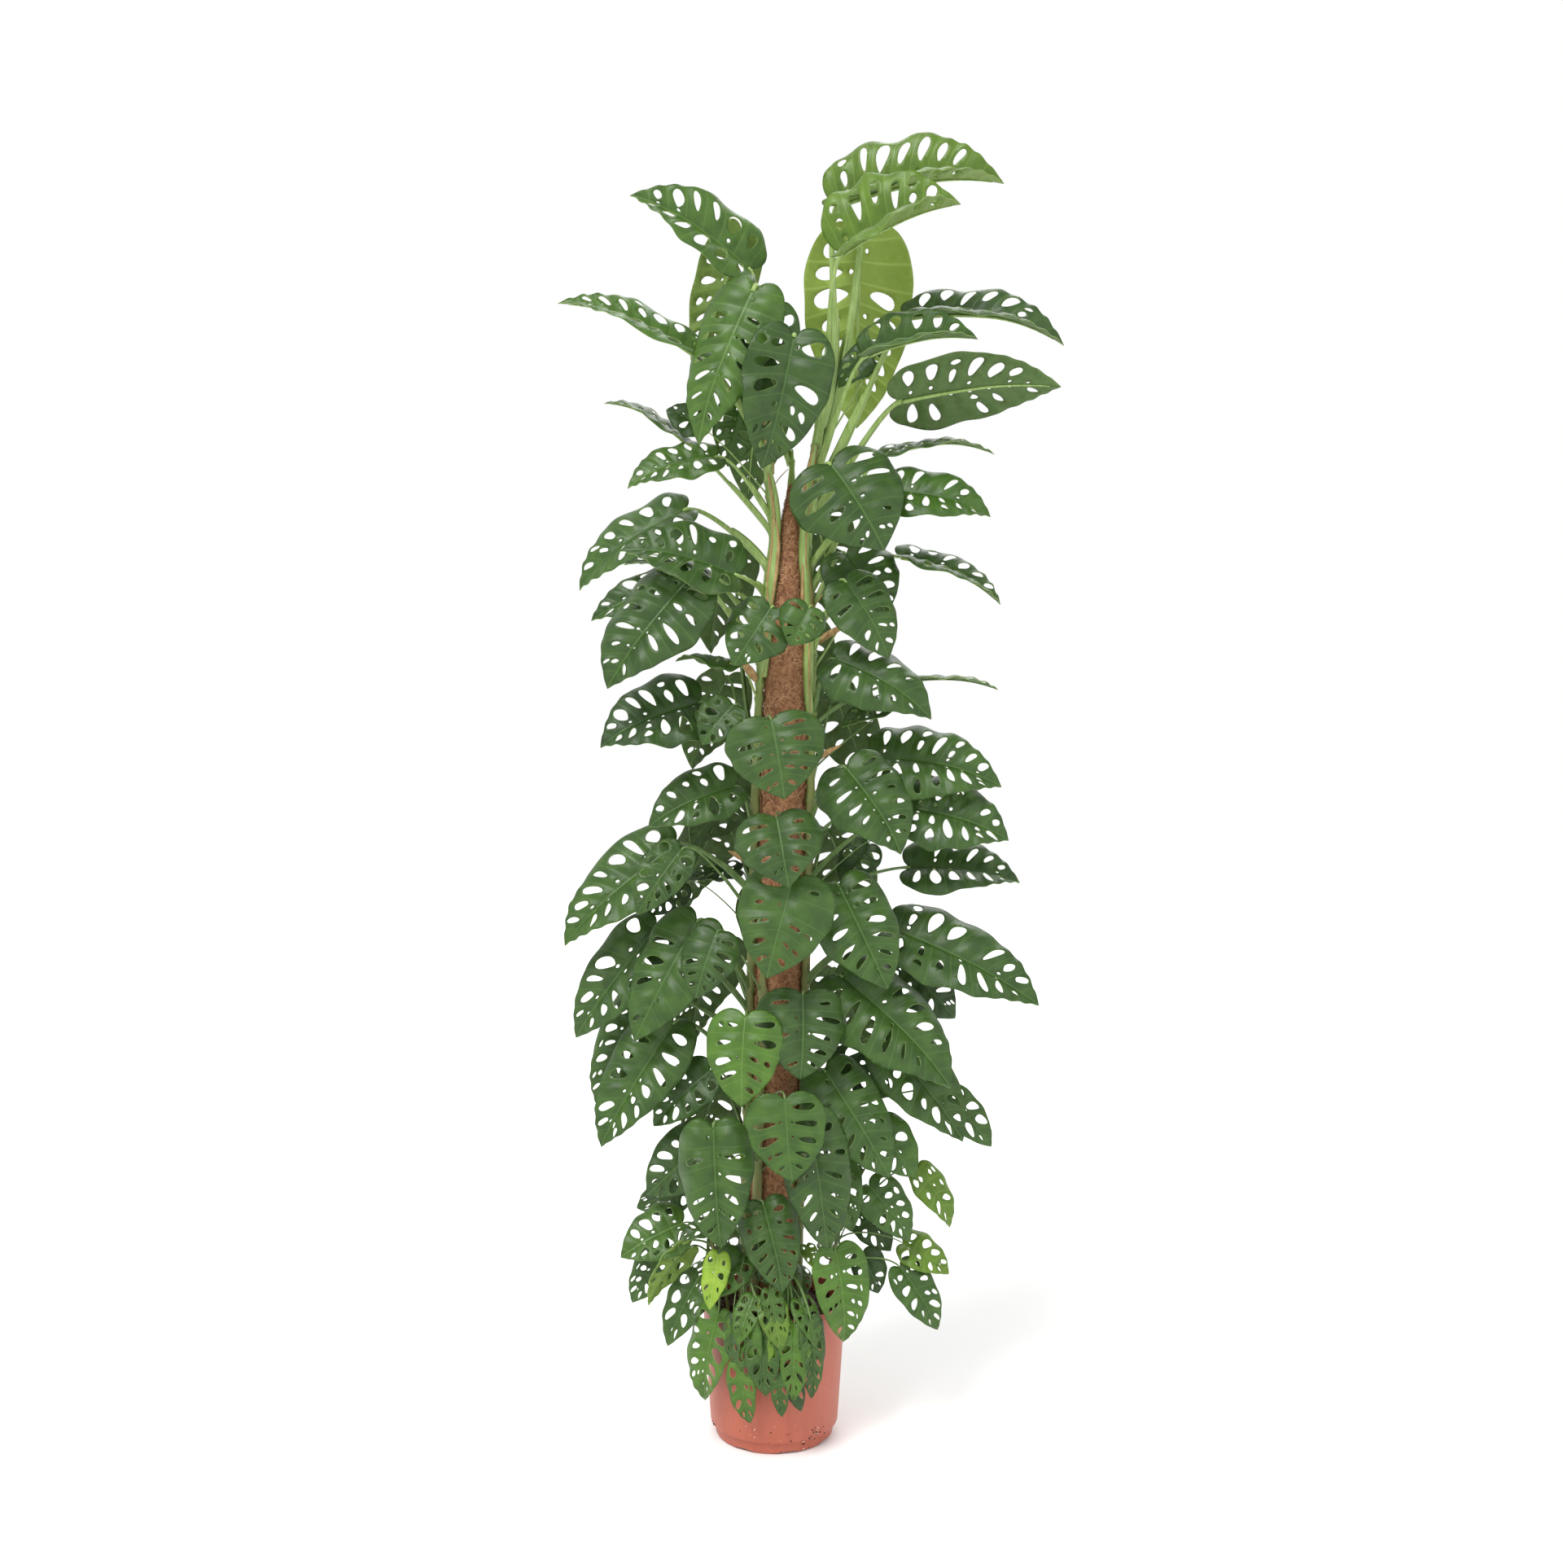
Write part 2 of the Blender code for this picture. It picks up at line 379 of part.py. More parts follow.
def make_pole():
    bottom = POT_FLOOR + 0.003
    bore = STAKE_RADIUS + GAP
    steps = [POLE_SHOULDER + (POLE_TOP - POLE_SHOULDER) * k / 8 for k in range(9)]
    profile = [(bore, bottom), (POLE_RADIUS, bottom)]
    profile += [(pole_radius(height), height) for height in steps]
    profile += [(0.0, POLE_TOP), (0.0, STAKE_TOP + 0.002), (bore, STAKE_TOP + GAP)]
    sleeve = turned("coir_sleeve", profile, POLE_SIDES, material("coir", (0.36, 0.145, 0.062), 0.95))
    lean_with_pole(sleeve)
    profile = ((0.0, bottom), (STAKE_RADIUS, bottom), (STAKE_RADIUS, STAKE_TOP), (0.0, STAKE_TOP))
    stake = turned("pole_stake", profile, 12, material("stake_wood", (0.42, 0.28, 0.15), 0.7))
    lean_with_pole(stake)


def on_polyline(points, height):
    """Point of a rising centre line at a height, held to its ends."""
    height = min(max(height, points[0].z), points[-1].z)
    for low, high in zip(points, points[1:]):
        if height <= high.z:
            return low.lerp(high, (height - low.z) / (high.z - low.z))
    return points[-1]


def climbing_line(turns):
    """Centre line of a stem that lies on the coir, from its roots to the last turn of the table."""
    heights = [turn[0] for turn in turns]
    bottom = SOIL_LEVEL - ROOT_DEPTH
    top = heights[-1] * CM + PLANT_LIFT
    steps = round((top - bottom) / STEM_STEP)
    line = []
    for k in range(steps + 1):
        height = bottom + (top - bottom) * k / steps
        angle = np.interp((height - PLANT_LIFT) / CM, heights, [turn[1] for turn in turns])
        off = np.interp((height - PLANT_LIFT) / CM, heights, [turn[2] for turn in turns]) * CM
        coir = max(pole_radius(height), STEM_CORE) / math.cos(math.pi / POLE_SIDES)
        reach = coir + GAP + VINE_RADIUS + off
        line.append(pole_axis(height) + compass(angle) * reach)
    return line


def plant_shift(stem):
    """How far a stem and its leaves move with the pot: all up with its height, shoots out with its rim."""
    shift = Vector((0, 0, PLANT_LIFT))
    if stem in SHOOTS:
        root = SHOOTS[stem][0]
        shift += Vector((root[0], root[1], 0.0)).normalized() * SHOOT_SPREAD
    return shift


def shoot_line(name):
    line = [Vector(point) * CM + plant_shift(name) for point in SHOOTS[name]]
    line[0].z = SOIL_LEVEL - ROOT_DEPTH
    return line


def tube_rings(line, radius, sides):
    """Level rings round a rising centre line, with the last one drawn in to a blunt end."""
    rings = []
    for k, centre in enumerate(line):
        size = radius * (STEM_END_SHARE if k == len(line) - 1 else 1.0)
        rings.append([
            centre + size * Vector((math.cos(math.tau * j / sides), math.sin(math.tau * j / sides), 0.0))
            for j in range(sides)
        ])
    return rings


def make_stems():
    """Every stem as (object, centre line, radius), with its leaves still to come."""
    bark = material("stem", (0.17, 0.22, 0.07), 0.55)
    stems = {}
    for name, turns in CLIMBING_STEMS.items():
        line = climbing_line(turns)
        bm = bmesh.new()
        loft(bm, tube_rings(line, VINE_RADIUS, 8))
        stems[name] = (as_object(name, bm, bark), line, VINE_RADIUS)
    for name in SHOOTS:
        line = shoot_line(name)
        bm = bmesh.new()
        loft(bm, tube_rings(line, SHOOT_RADIUS, 6))
        stems[name] = (as_object(name, bm, bark), line, SHOOT_RADIUS)
    return stems


def make_soil(stems):
    low = POT_LEDGE_HEIGHT + 0.002
    profile = (
        (0.0, POT_FLOOR + GAP),
        (POT_BASE_RADIUS - POT_WALL - 0.003, POT_FLOOR + GAP),
        (POT_BASE_RADIUS - POT_WALL - 0.001, low),
        (pot_inner_radius(SOIL_LEVEL - SOIL_MOUND) - GAP, SOIL_LEVEL - SOIL_MOUND),
        (pot_inner_radius(SOIL_LEVEL) * 0.7, SOIL_LEVEL),
        (0.0, SOIL_LEVEL),
    )
    soil = turned("soil", profile, ROUND_SIDES, material("soil", (0.035, 0.017, 0.011), 0.95))
    bm = bmesh.new()
    bmesh.ops.create_cone(
        bm, cap_ends=True, segments=POLE_SIDES, radius1=POLE_RADIUS + GAP, radius2=POLE_RADIUS + GAP,
        depth=2 * POT_HEIGHT, matrix=Matrix.Translation((0, 0, POT_HEIGHT / 2)),
    )
    cutters = [as_object("pole_hole_cutter", bm)]
    lean_with_pole(cutters[0])
    for _, line, radius in stems.values():
        bm = bmesh.new()
        foot = [line[0] - Vector((0, 0, GAP))] + line[1:4]
        sides = 8 if radius == VINE_RADIUS else 6
        rings = tube_rings(foot + [foot[-1] + Vector((0, 0, 0.01))], radius + 1.2 * GAP, sides)
        loft(bm, rings)
        cutters.append(as_object("stem_hole_cutter", bm))
    boolean(soil, "DIFFERENCE", cutters)


def compass(angle, tilt=0.0):
    """Unit vector: angle from the front (-Y) towards the right, tilt up from level."""
    flat = math.cos(math.radians(tilt))
    turn = math.radians(angle)
    return Vector((flat * math.sin(turn), -flat * math.cos(turn), math.sin(math.radians(tilt))))


def petiole_foot(line, radius, height, base, joined):
    """Where the petiole leaves its stem, and the level direction in which it does so."""
    axis = on_polyline(line, height)
    out = Vector((base.x - axis.x, base.y - axis.y, 0.0)).normalized()
    to_pole = pole_axis(axis.z) - axis
    to_pole.z = 0.0
    to_pole.normalize()
    if radius == VINE_RADIUS and out.dot(to_pole) > -0.1:
        out = (out - to_pole * (out.dot(to_pole) + 0.1)).normalized()
    drawn_in = max(0.0, (axis.z - line[-2].z) / (line[-1].z - line[-2].z))
    reach = 0.0 if joined else radius * (1.0 - (1.0 - STEM_END_SHARE) * drawn_in) + GAP
    return axis + out * reach, out


def leaf_mesh(bm, line, radius, row):
    """Petiole and blade as one closed skin of four-sided rings: left rim, top, right rim, bottom."""
    name, stem, height, base, tip, width, face, fold, _ = row
    base = Vector(base) * CM + plant_shift(stem)
    tip = Vector(tip) * CM + plant_shift(stem)
    along = (tip - base).normalized()
    length = (tip - base).length
    up = compass(*face)
    up = (up - along * up.dot(along)).normalized()
    side = along.cross(up)
    foot, out = petiole_foot(line, radius, height * CM + PLANT_LIFT, base, name is None)
    span = (base - foot).length
    rise = Vector((0, 0, 1))
    handles = (
        foot,
        foot + (out * 0.45 + rise * 0.55) * span * 0.4,
        base - along * min(0.25 * span, 0.03),
        base,
    )
    thick = PETIOLE_RADIUS + PETIOLE_PER_LENGTH * length / 2
    rings = []
    across = side
    for share in reversed(PETIOLE_STEPS):
        rest = 1 - share
        centre = (
            handles[0] * rest ** 3 + handles[1] * 3 * rest ** 2 * share
            + handles[2] * 3 * rest * share ** 2 + handles[3] * share ** 3
        )
        heading = (
            (handles[1] - handles[0]) * rest ** 2 + (handles[2] - handles[1]) * 2 * rest * share
            + (handles[3] - handles[2]) * share ** 2
        ).normalized()
        if share == 0.0:
            heading = out
        across = (across - heading * across.dot(heading)).normalized()
        above = across.cross(heading)
        size = thick * (1.25 - 0.45 * share)
        rings.append((centre - across * size, centre + above * size, centre + across * size, centre - above * size))
    rings.reverse()
    size = thick * 0.75
    rings.append((base - side * size, base + up * size, base + side * size, base - up * size))
    arch = 0.05 * length
    lean = math.radians(fold)
    for along_mid, share, along_rim in BLADE_STATIONS:
        mid = base + along * length * along_mid + up * arch * 4 * along_mid * (1 - along_mid)
        rim = base + along * length * along_rim + up * arch * 4 * along_rim * (1 - along_rim)
        half = width * CM / 2 * share
        spread = side * math.cos(lean) * half
        lifted = up * math.sin(lean) * half
        core = up * BLADE_THICKNESS / 2
        rings.append((rim - spread + lifted, mid + core, rim + spread + lifted, mid - core))
    loft(bm, rings, tip)


def make_leaves(stems):
    joined = {name: [] for name in stems}
    coats = {tone: material("leaf_" + tone, colour, 0.42) for tone, colour in TONES.items()}
    for row in LEAVES:
        stem, line, radius = stems[row[1]]
        bm = bmesh.new()
        leaf_mesh(bm, line, radius, row)
        item = as_object(row[0] or row[1] + "_leaf", bm, coats[row[8]])
        if row[0] is None:
            joined[row[1]].append(item)
    for name, leaves in joined.items():
        if leaves:
            boolean(stems[name][0], "UNION", leaves)


def main():
    clear_scene()
    make_pot()
    make_pole()
    stems = make_stems()
    make_soil(stems)
    make_leaves(stems)


main()
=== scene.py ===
import math
import random

import bpy
import numpy as np
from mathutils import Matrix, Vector, geometry, noise


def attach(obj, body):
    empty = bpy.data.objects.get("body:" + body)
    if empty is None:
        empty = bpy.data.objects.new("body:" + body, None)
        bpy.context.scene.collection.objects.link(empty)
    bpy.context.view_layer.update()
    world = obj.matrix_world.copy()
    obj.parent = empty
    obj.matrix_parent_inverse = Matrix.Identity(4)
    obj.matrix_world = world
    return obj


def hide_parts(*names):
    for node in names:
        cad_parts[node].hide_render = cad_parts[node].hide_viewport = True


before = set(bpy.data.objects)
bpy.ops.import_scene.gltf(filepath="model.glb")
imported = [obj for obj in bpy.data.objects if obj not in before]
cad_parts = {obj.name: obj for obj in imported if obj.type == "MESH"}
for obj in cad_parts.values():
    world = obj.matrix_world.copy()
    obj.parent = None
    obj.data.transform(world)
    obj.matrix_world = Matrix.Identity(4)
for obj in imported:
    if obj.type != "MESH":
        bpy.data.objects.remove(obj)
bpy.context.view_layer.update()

scene = bpy.context.scene
cm = 0.01
mm = 0.001
upward = Vector((0, 0, 1))


def hexColour(code):  # sRGB hex to the linear colour a shader socket wants
    parts = [int(code[k:k + 2], 16) / 255 for k in (1, 3, 5)]
    return [c / 12.92 if c <= 0.04045 else ((c + 0.055) / 1.055) ** 2.4 for c in parts] + [1.0]


def addNode(tree, kind, settings=None, links=None):  # a node with its properties, socket values and links
    node = tree.nodes.new("ShaderNode" + kind)
    for key, value in (settings or {}).items():
        if key == "stops":
            ramp = node.color_ramp
            while len(ramp.elements) < len(value):
                ramp.elements.new(0.5)
            for stop, (place, colour) in zip(ramp.elements, value):
                stop.position = place
                stop.color = hexColour(colour)
        elif isinstance(key, str) and hasattr(node, key):
            setattr(node, key, value)
        else:
            node.inputs[key].default_value = value
    for key, socket in (links or {}).items():
        tree.links.new(socket, node.inputs[key])
    return node


def newMaterial(name, values=None):  # an empty finish with its even values set on the shader itself
    finish = bpy.data.materials.new(name)
    finish.use_nodes = True
    tree = finish.node_tree
    shader = tree.nodes["Principled BSDF"]
    for socket, value in (values or {}).items():
        shader.inputs[socket].default_value = value
    return finish, tree, shader


def deselectAll():
    if bpy.context.mode != "OBJECT":
        bpy.ops.object.mode_set(mode="OBJECT")
    bpy.ops.object.select_all(action="DESELECT")


def meshObject(name, points, faces, finishes=(), faceFinish=None):
    mesh = bpy.data.meshes.new(name)
    mesh.from_pydata([tuple(p) for p in points], [], [tuple(f) for f in faces])
    for finish in finishes:
        mesh.materials.append(finish)
    if faceFinish is not None:
        mesh.polygons.foreach_set("material_index", np.array(faceFinish, np.int32))
    mesh.polygons.foreach_set("use_smooth", np.ones(len(mesh.polygons), bool))
    mesh.update()
    item = bpy.data.objects.new(name, mesh)
    scene.collection.objects.link(item)
    return item


def applyAll(item):  # every modifier made real, with its place in its mesh
    deselectAll()
    item.select_set(True)
    bpy.context.view_layer.objects.active = item
    for step in list(item.modifiers):
        bpy.ops.object.modifier_apply(modifier=step.name)
    bpy.ops.object.transform_apply(location=True, rotation=True, scale=True)
    return item


def joinPieces(items, name):
    deselectAll()
    for item in items:
        item.select_set(True)
    bpy.context.view_layer.objects.active = items[0]
    if len(items) > 1:
        bpy.ops.object.join()
    items[0].name = items[0].data.name = name
    return items[0]


def finishPiece(item, slotName, *nodes):
    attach(item, "root")
    if nodes:
        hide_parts(*nodes)
    return item


def spunPiece(name, profile, sides, centre=(0, 0)):  # a ring drawn out and sized step by step, then closed
    deselectAll()
    radius, height = profile[0]
    bpy.ops.mesh.primitive_circle_add(vertices=sides, radius=radius, location=(*centre, height))
    item = bpy.context.object
    item.name = item.data.name = name
    bpy.ops.object.mode_set(mode="EDIT")
    bpy.ops.mesh.select_all(action="SELECT")
    for (wide, low), (nextWide, high) in zip(profile, profile[1:]):
        bpy.ops.mesh.extrude_region_move(TRANSFORM_OT_translate={"value": (0, 0, high - low)})
        size = nextWide / wide
        bpy.ops.transform.resize(value=(size, size, 1), center_override=(*centre, high))
    bpy.ops.mesh.edge_face_add()
    bpy.ops.mesh.select_all(action="DESELECT")
    bpy.ops.mesh.select_non_manifold()
    bpy.ops.mesh.edge_face_add()
    bpy.ops.mesh.select_all(action="SELECT")
    bpy.ops.mesh.normals_make_consistent(inside=False)
    bpy.ops.object.mode_set(mode="OBJECT")
    bpy.ops.object.transform_apply(location=True, rotation=True, scale=True)
    return item


def smoothLine(points, spacing):  # an even run of points on a smooth curve through the given ones
    given = np.array(points, float)
    ends = np.vstack([2 * given[0] - given[1], given, 2 * given[-1] - given[-2]])
    share = np.linspace(0, 1, 12, endpoint=False)[:, None]
    fine = []
    for a, b, c, d in zip(ends, ends[1:], ends[2:], ends[3:]):
        fine.append(0.5 * (2 * b + (c - a) * share + (2 * a - 5 * b + 4 * c - d) * share ** 2
                           + (3 * b - a - 3 * c + d) * share ** 3))
    fine = np.vstack(fine + [given[-1:]])
    run = np.r_[0, np.cumsum(np.linalg.norm(np.diff(fine, axis=0), axis=1))]
    places = np.linspace(0, run[-1], max(2, round(run[-1] / spacing)) + 1)
    return np.column_stack([np.interp(places, run, fine[:, k]) for k in range(fine.shape[1])])


def compass(angle, tilt=0.0):  # a direction: angle from the front towards the right, tilt up from level
    flat = math.cos(math.radians(tilt))
    turn = math.radians(angle)
    return Vector((flat * math.sin(turn), -flat * math.cos(turn), math.sin(math.radians(tilt))))


def tubeParts(path, sizes, sides, flat=None, wide=None):  # skin of a tube; flat and wide give an oval section
    path = np.array(path, float)
    heading = np.gradient(path, axis=0)
    heading /= np.linalg.norm(heading, axis=1)[:, None]
    across = np.cross(heading[0], (0.3, 0.2, 1.0) if wide is None else wide)
    points, faces = [], []
    for k, (centre, way) in enumerate(zip(path, heading)):
        across = across - way * across.dot(way)
        across /= np.linalg.norm(across)
        above = np.cross(across, way)
        thin = sizes[k] if flat is None else flat[k]
        for j in range(sides):
            turn = math.tau * j / sides
            points.append(centre + across * math.cos(turn) * sizes[k] + above * math.sin(turn) * thin)
        for j in range(sides if k else 0):
            low, high = (k - 1) * sides, k * sides
            faces.append((low + j, low + (j + 1) % sides, high + (j + 1) % sides, high + j))
    faces.append(tuple(range(sides))[::-1])
    faces.append(tuple(len(points) - sides + j for j in range(sides)))
    return points, [f[::-1] for f in faces]


def gather(parts):  # several (points, faces) as one
    points, faces, owner = [], [], []
    for number, (more, skin) in enumerate(parts):
        faces += [tuple(k + len(points) for k in face) for face in skin]
        owner += [number] * len(skin)
        points += list(more)
    return points, faces, owner


pole = dict(radius=0.032, top=1.305, shoulder=0.96, footX=-0.006, y=0.005, lean=math.radians(1.46), bottom=0.0105)
stem = dict(vine=0.006, shoot=0.003, core=0.012, step=0.02, ring=0.32, ringLong=0.004)
ground = dict(level=0.168, mound=0.004, roots=0.03)

climbing = {
    "vine_left": ((14, -82, 0), (60, -80, 0), (100, -78, 0), (122, -80, 0.1), (134, -95, 1.6),
                  (146, -100, 2.6), (156.5, -100, 3.0)),
    "vine_right": ((14, 80, 0), (60, 78, 0), (100, 80, 0), (120, 84, 0.1), (132, 95, 1.2), (142, 100, 2.2)),
    "vine_front": ((14, -35, 0), (40, -33, 0), (58, -32, 0), (66, -34, 0.1)),
    "vine_rear": ((14, 175, 0), (60, 172, 0), (100, 174, 0), (124, 176, 0.1), (136, 178, 1.2)),
    "vine_rear_left": ((14, -132, 0), (50, -130, 0), (92, -132, 0)),
    "vine_rear_right": ((14, 130, 0), (50, 132, 0), (90, 131, 0)),
}
shoots = {
    "shoot_left": ((-6.2, -1.6, 14), (-6.4, -1.8, 18), (-7.6, -2.2, 23), (-9.2, -2.4, 29)),
    "shoot_front_left": ((-3.4, -6.6, 14), (-3.4, -6.7, 18), (-3.7, -6.8, 21), (-4.6, -6.6, 25)),
    "shoot_front_right": ((1.6, -7.0, 14), (1.6, -7.0, 18), (1.8, -7.2, 21), (1.6, -7.4, 25)),
    "shoot_right": ((6.4, -2.4, 14), (6.6, -2.5, 18), (7.8, -2.9, 24), (9.4, -3.0, 30)),
    "shoot_rear": ((-3.6, 7.0, 14), (-3.6, 7.1, 18), (-3.9, 7.4, 22), (-4.4, 7.6, 26)),
}
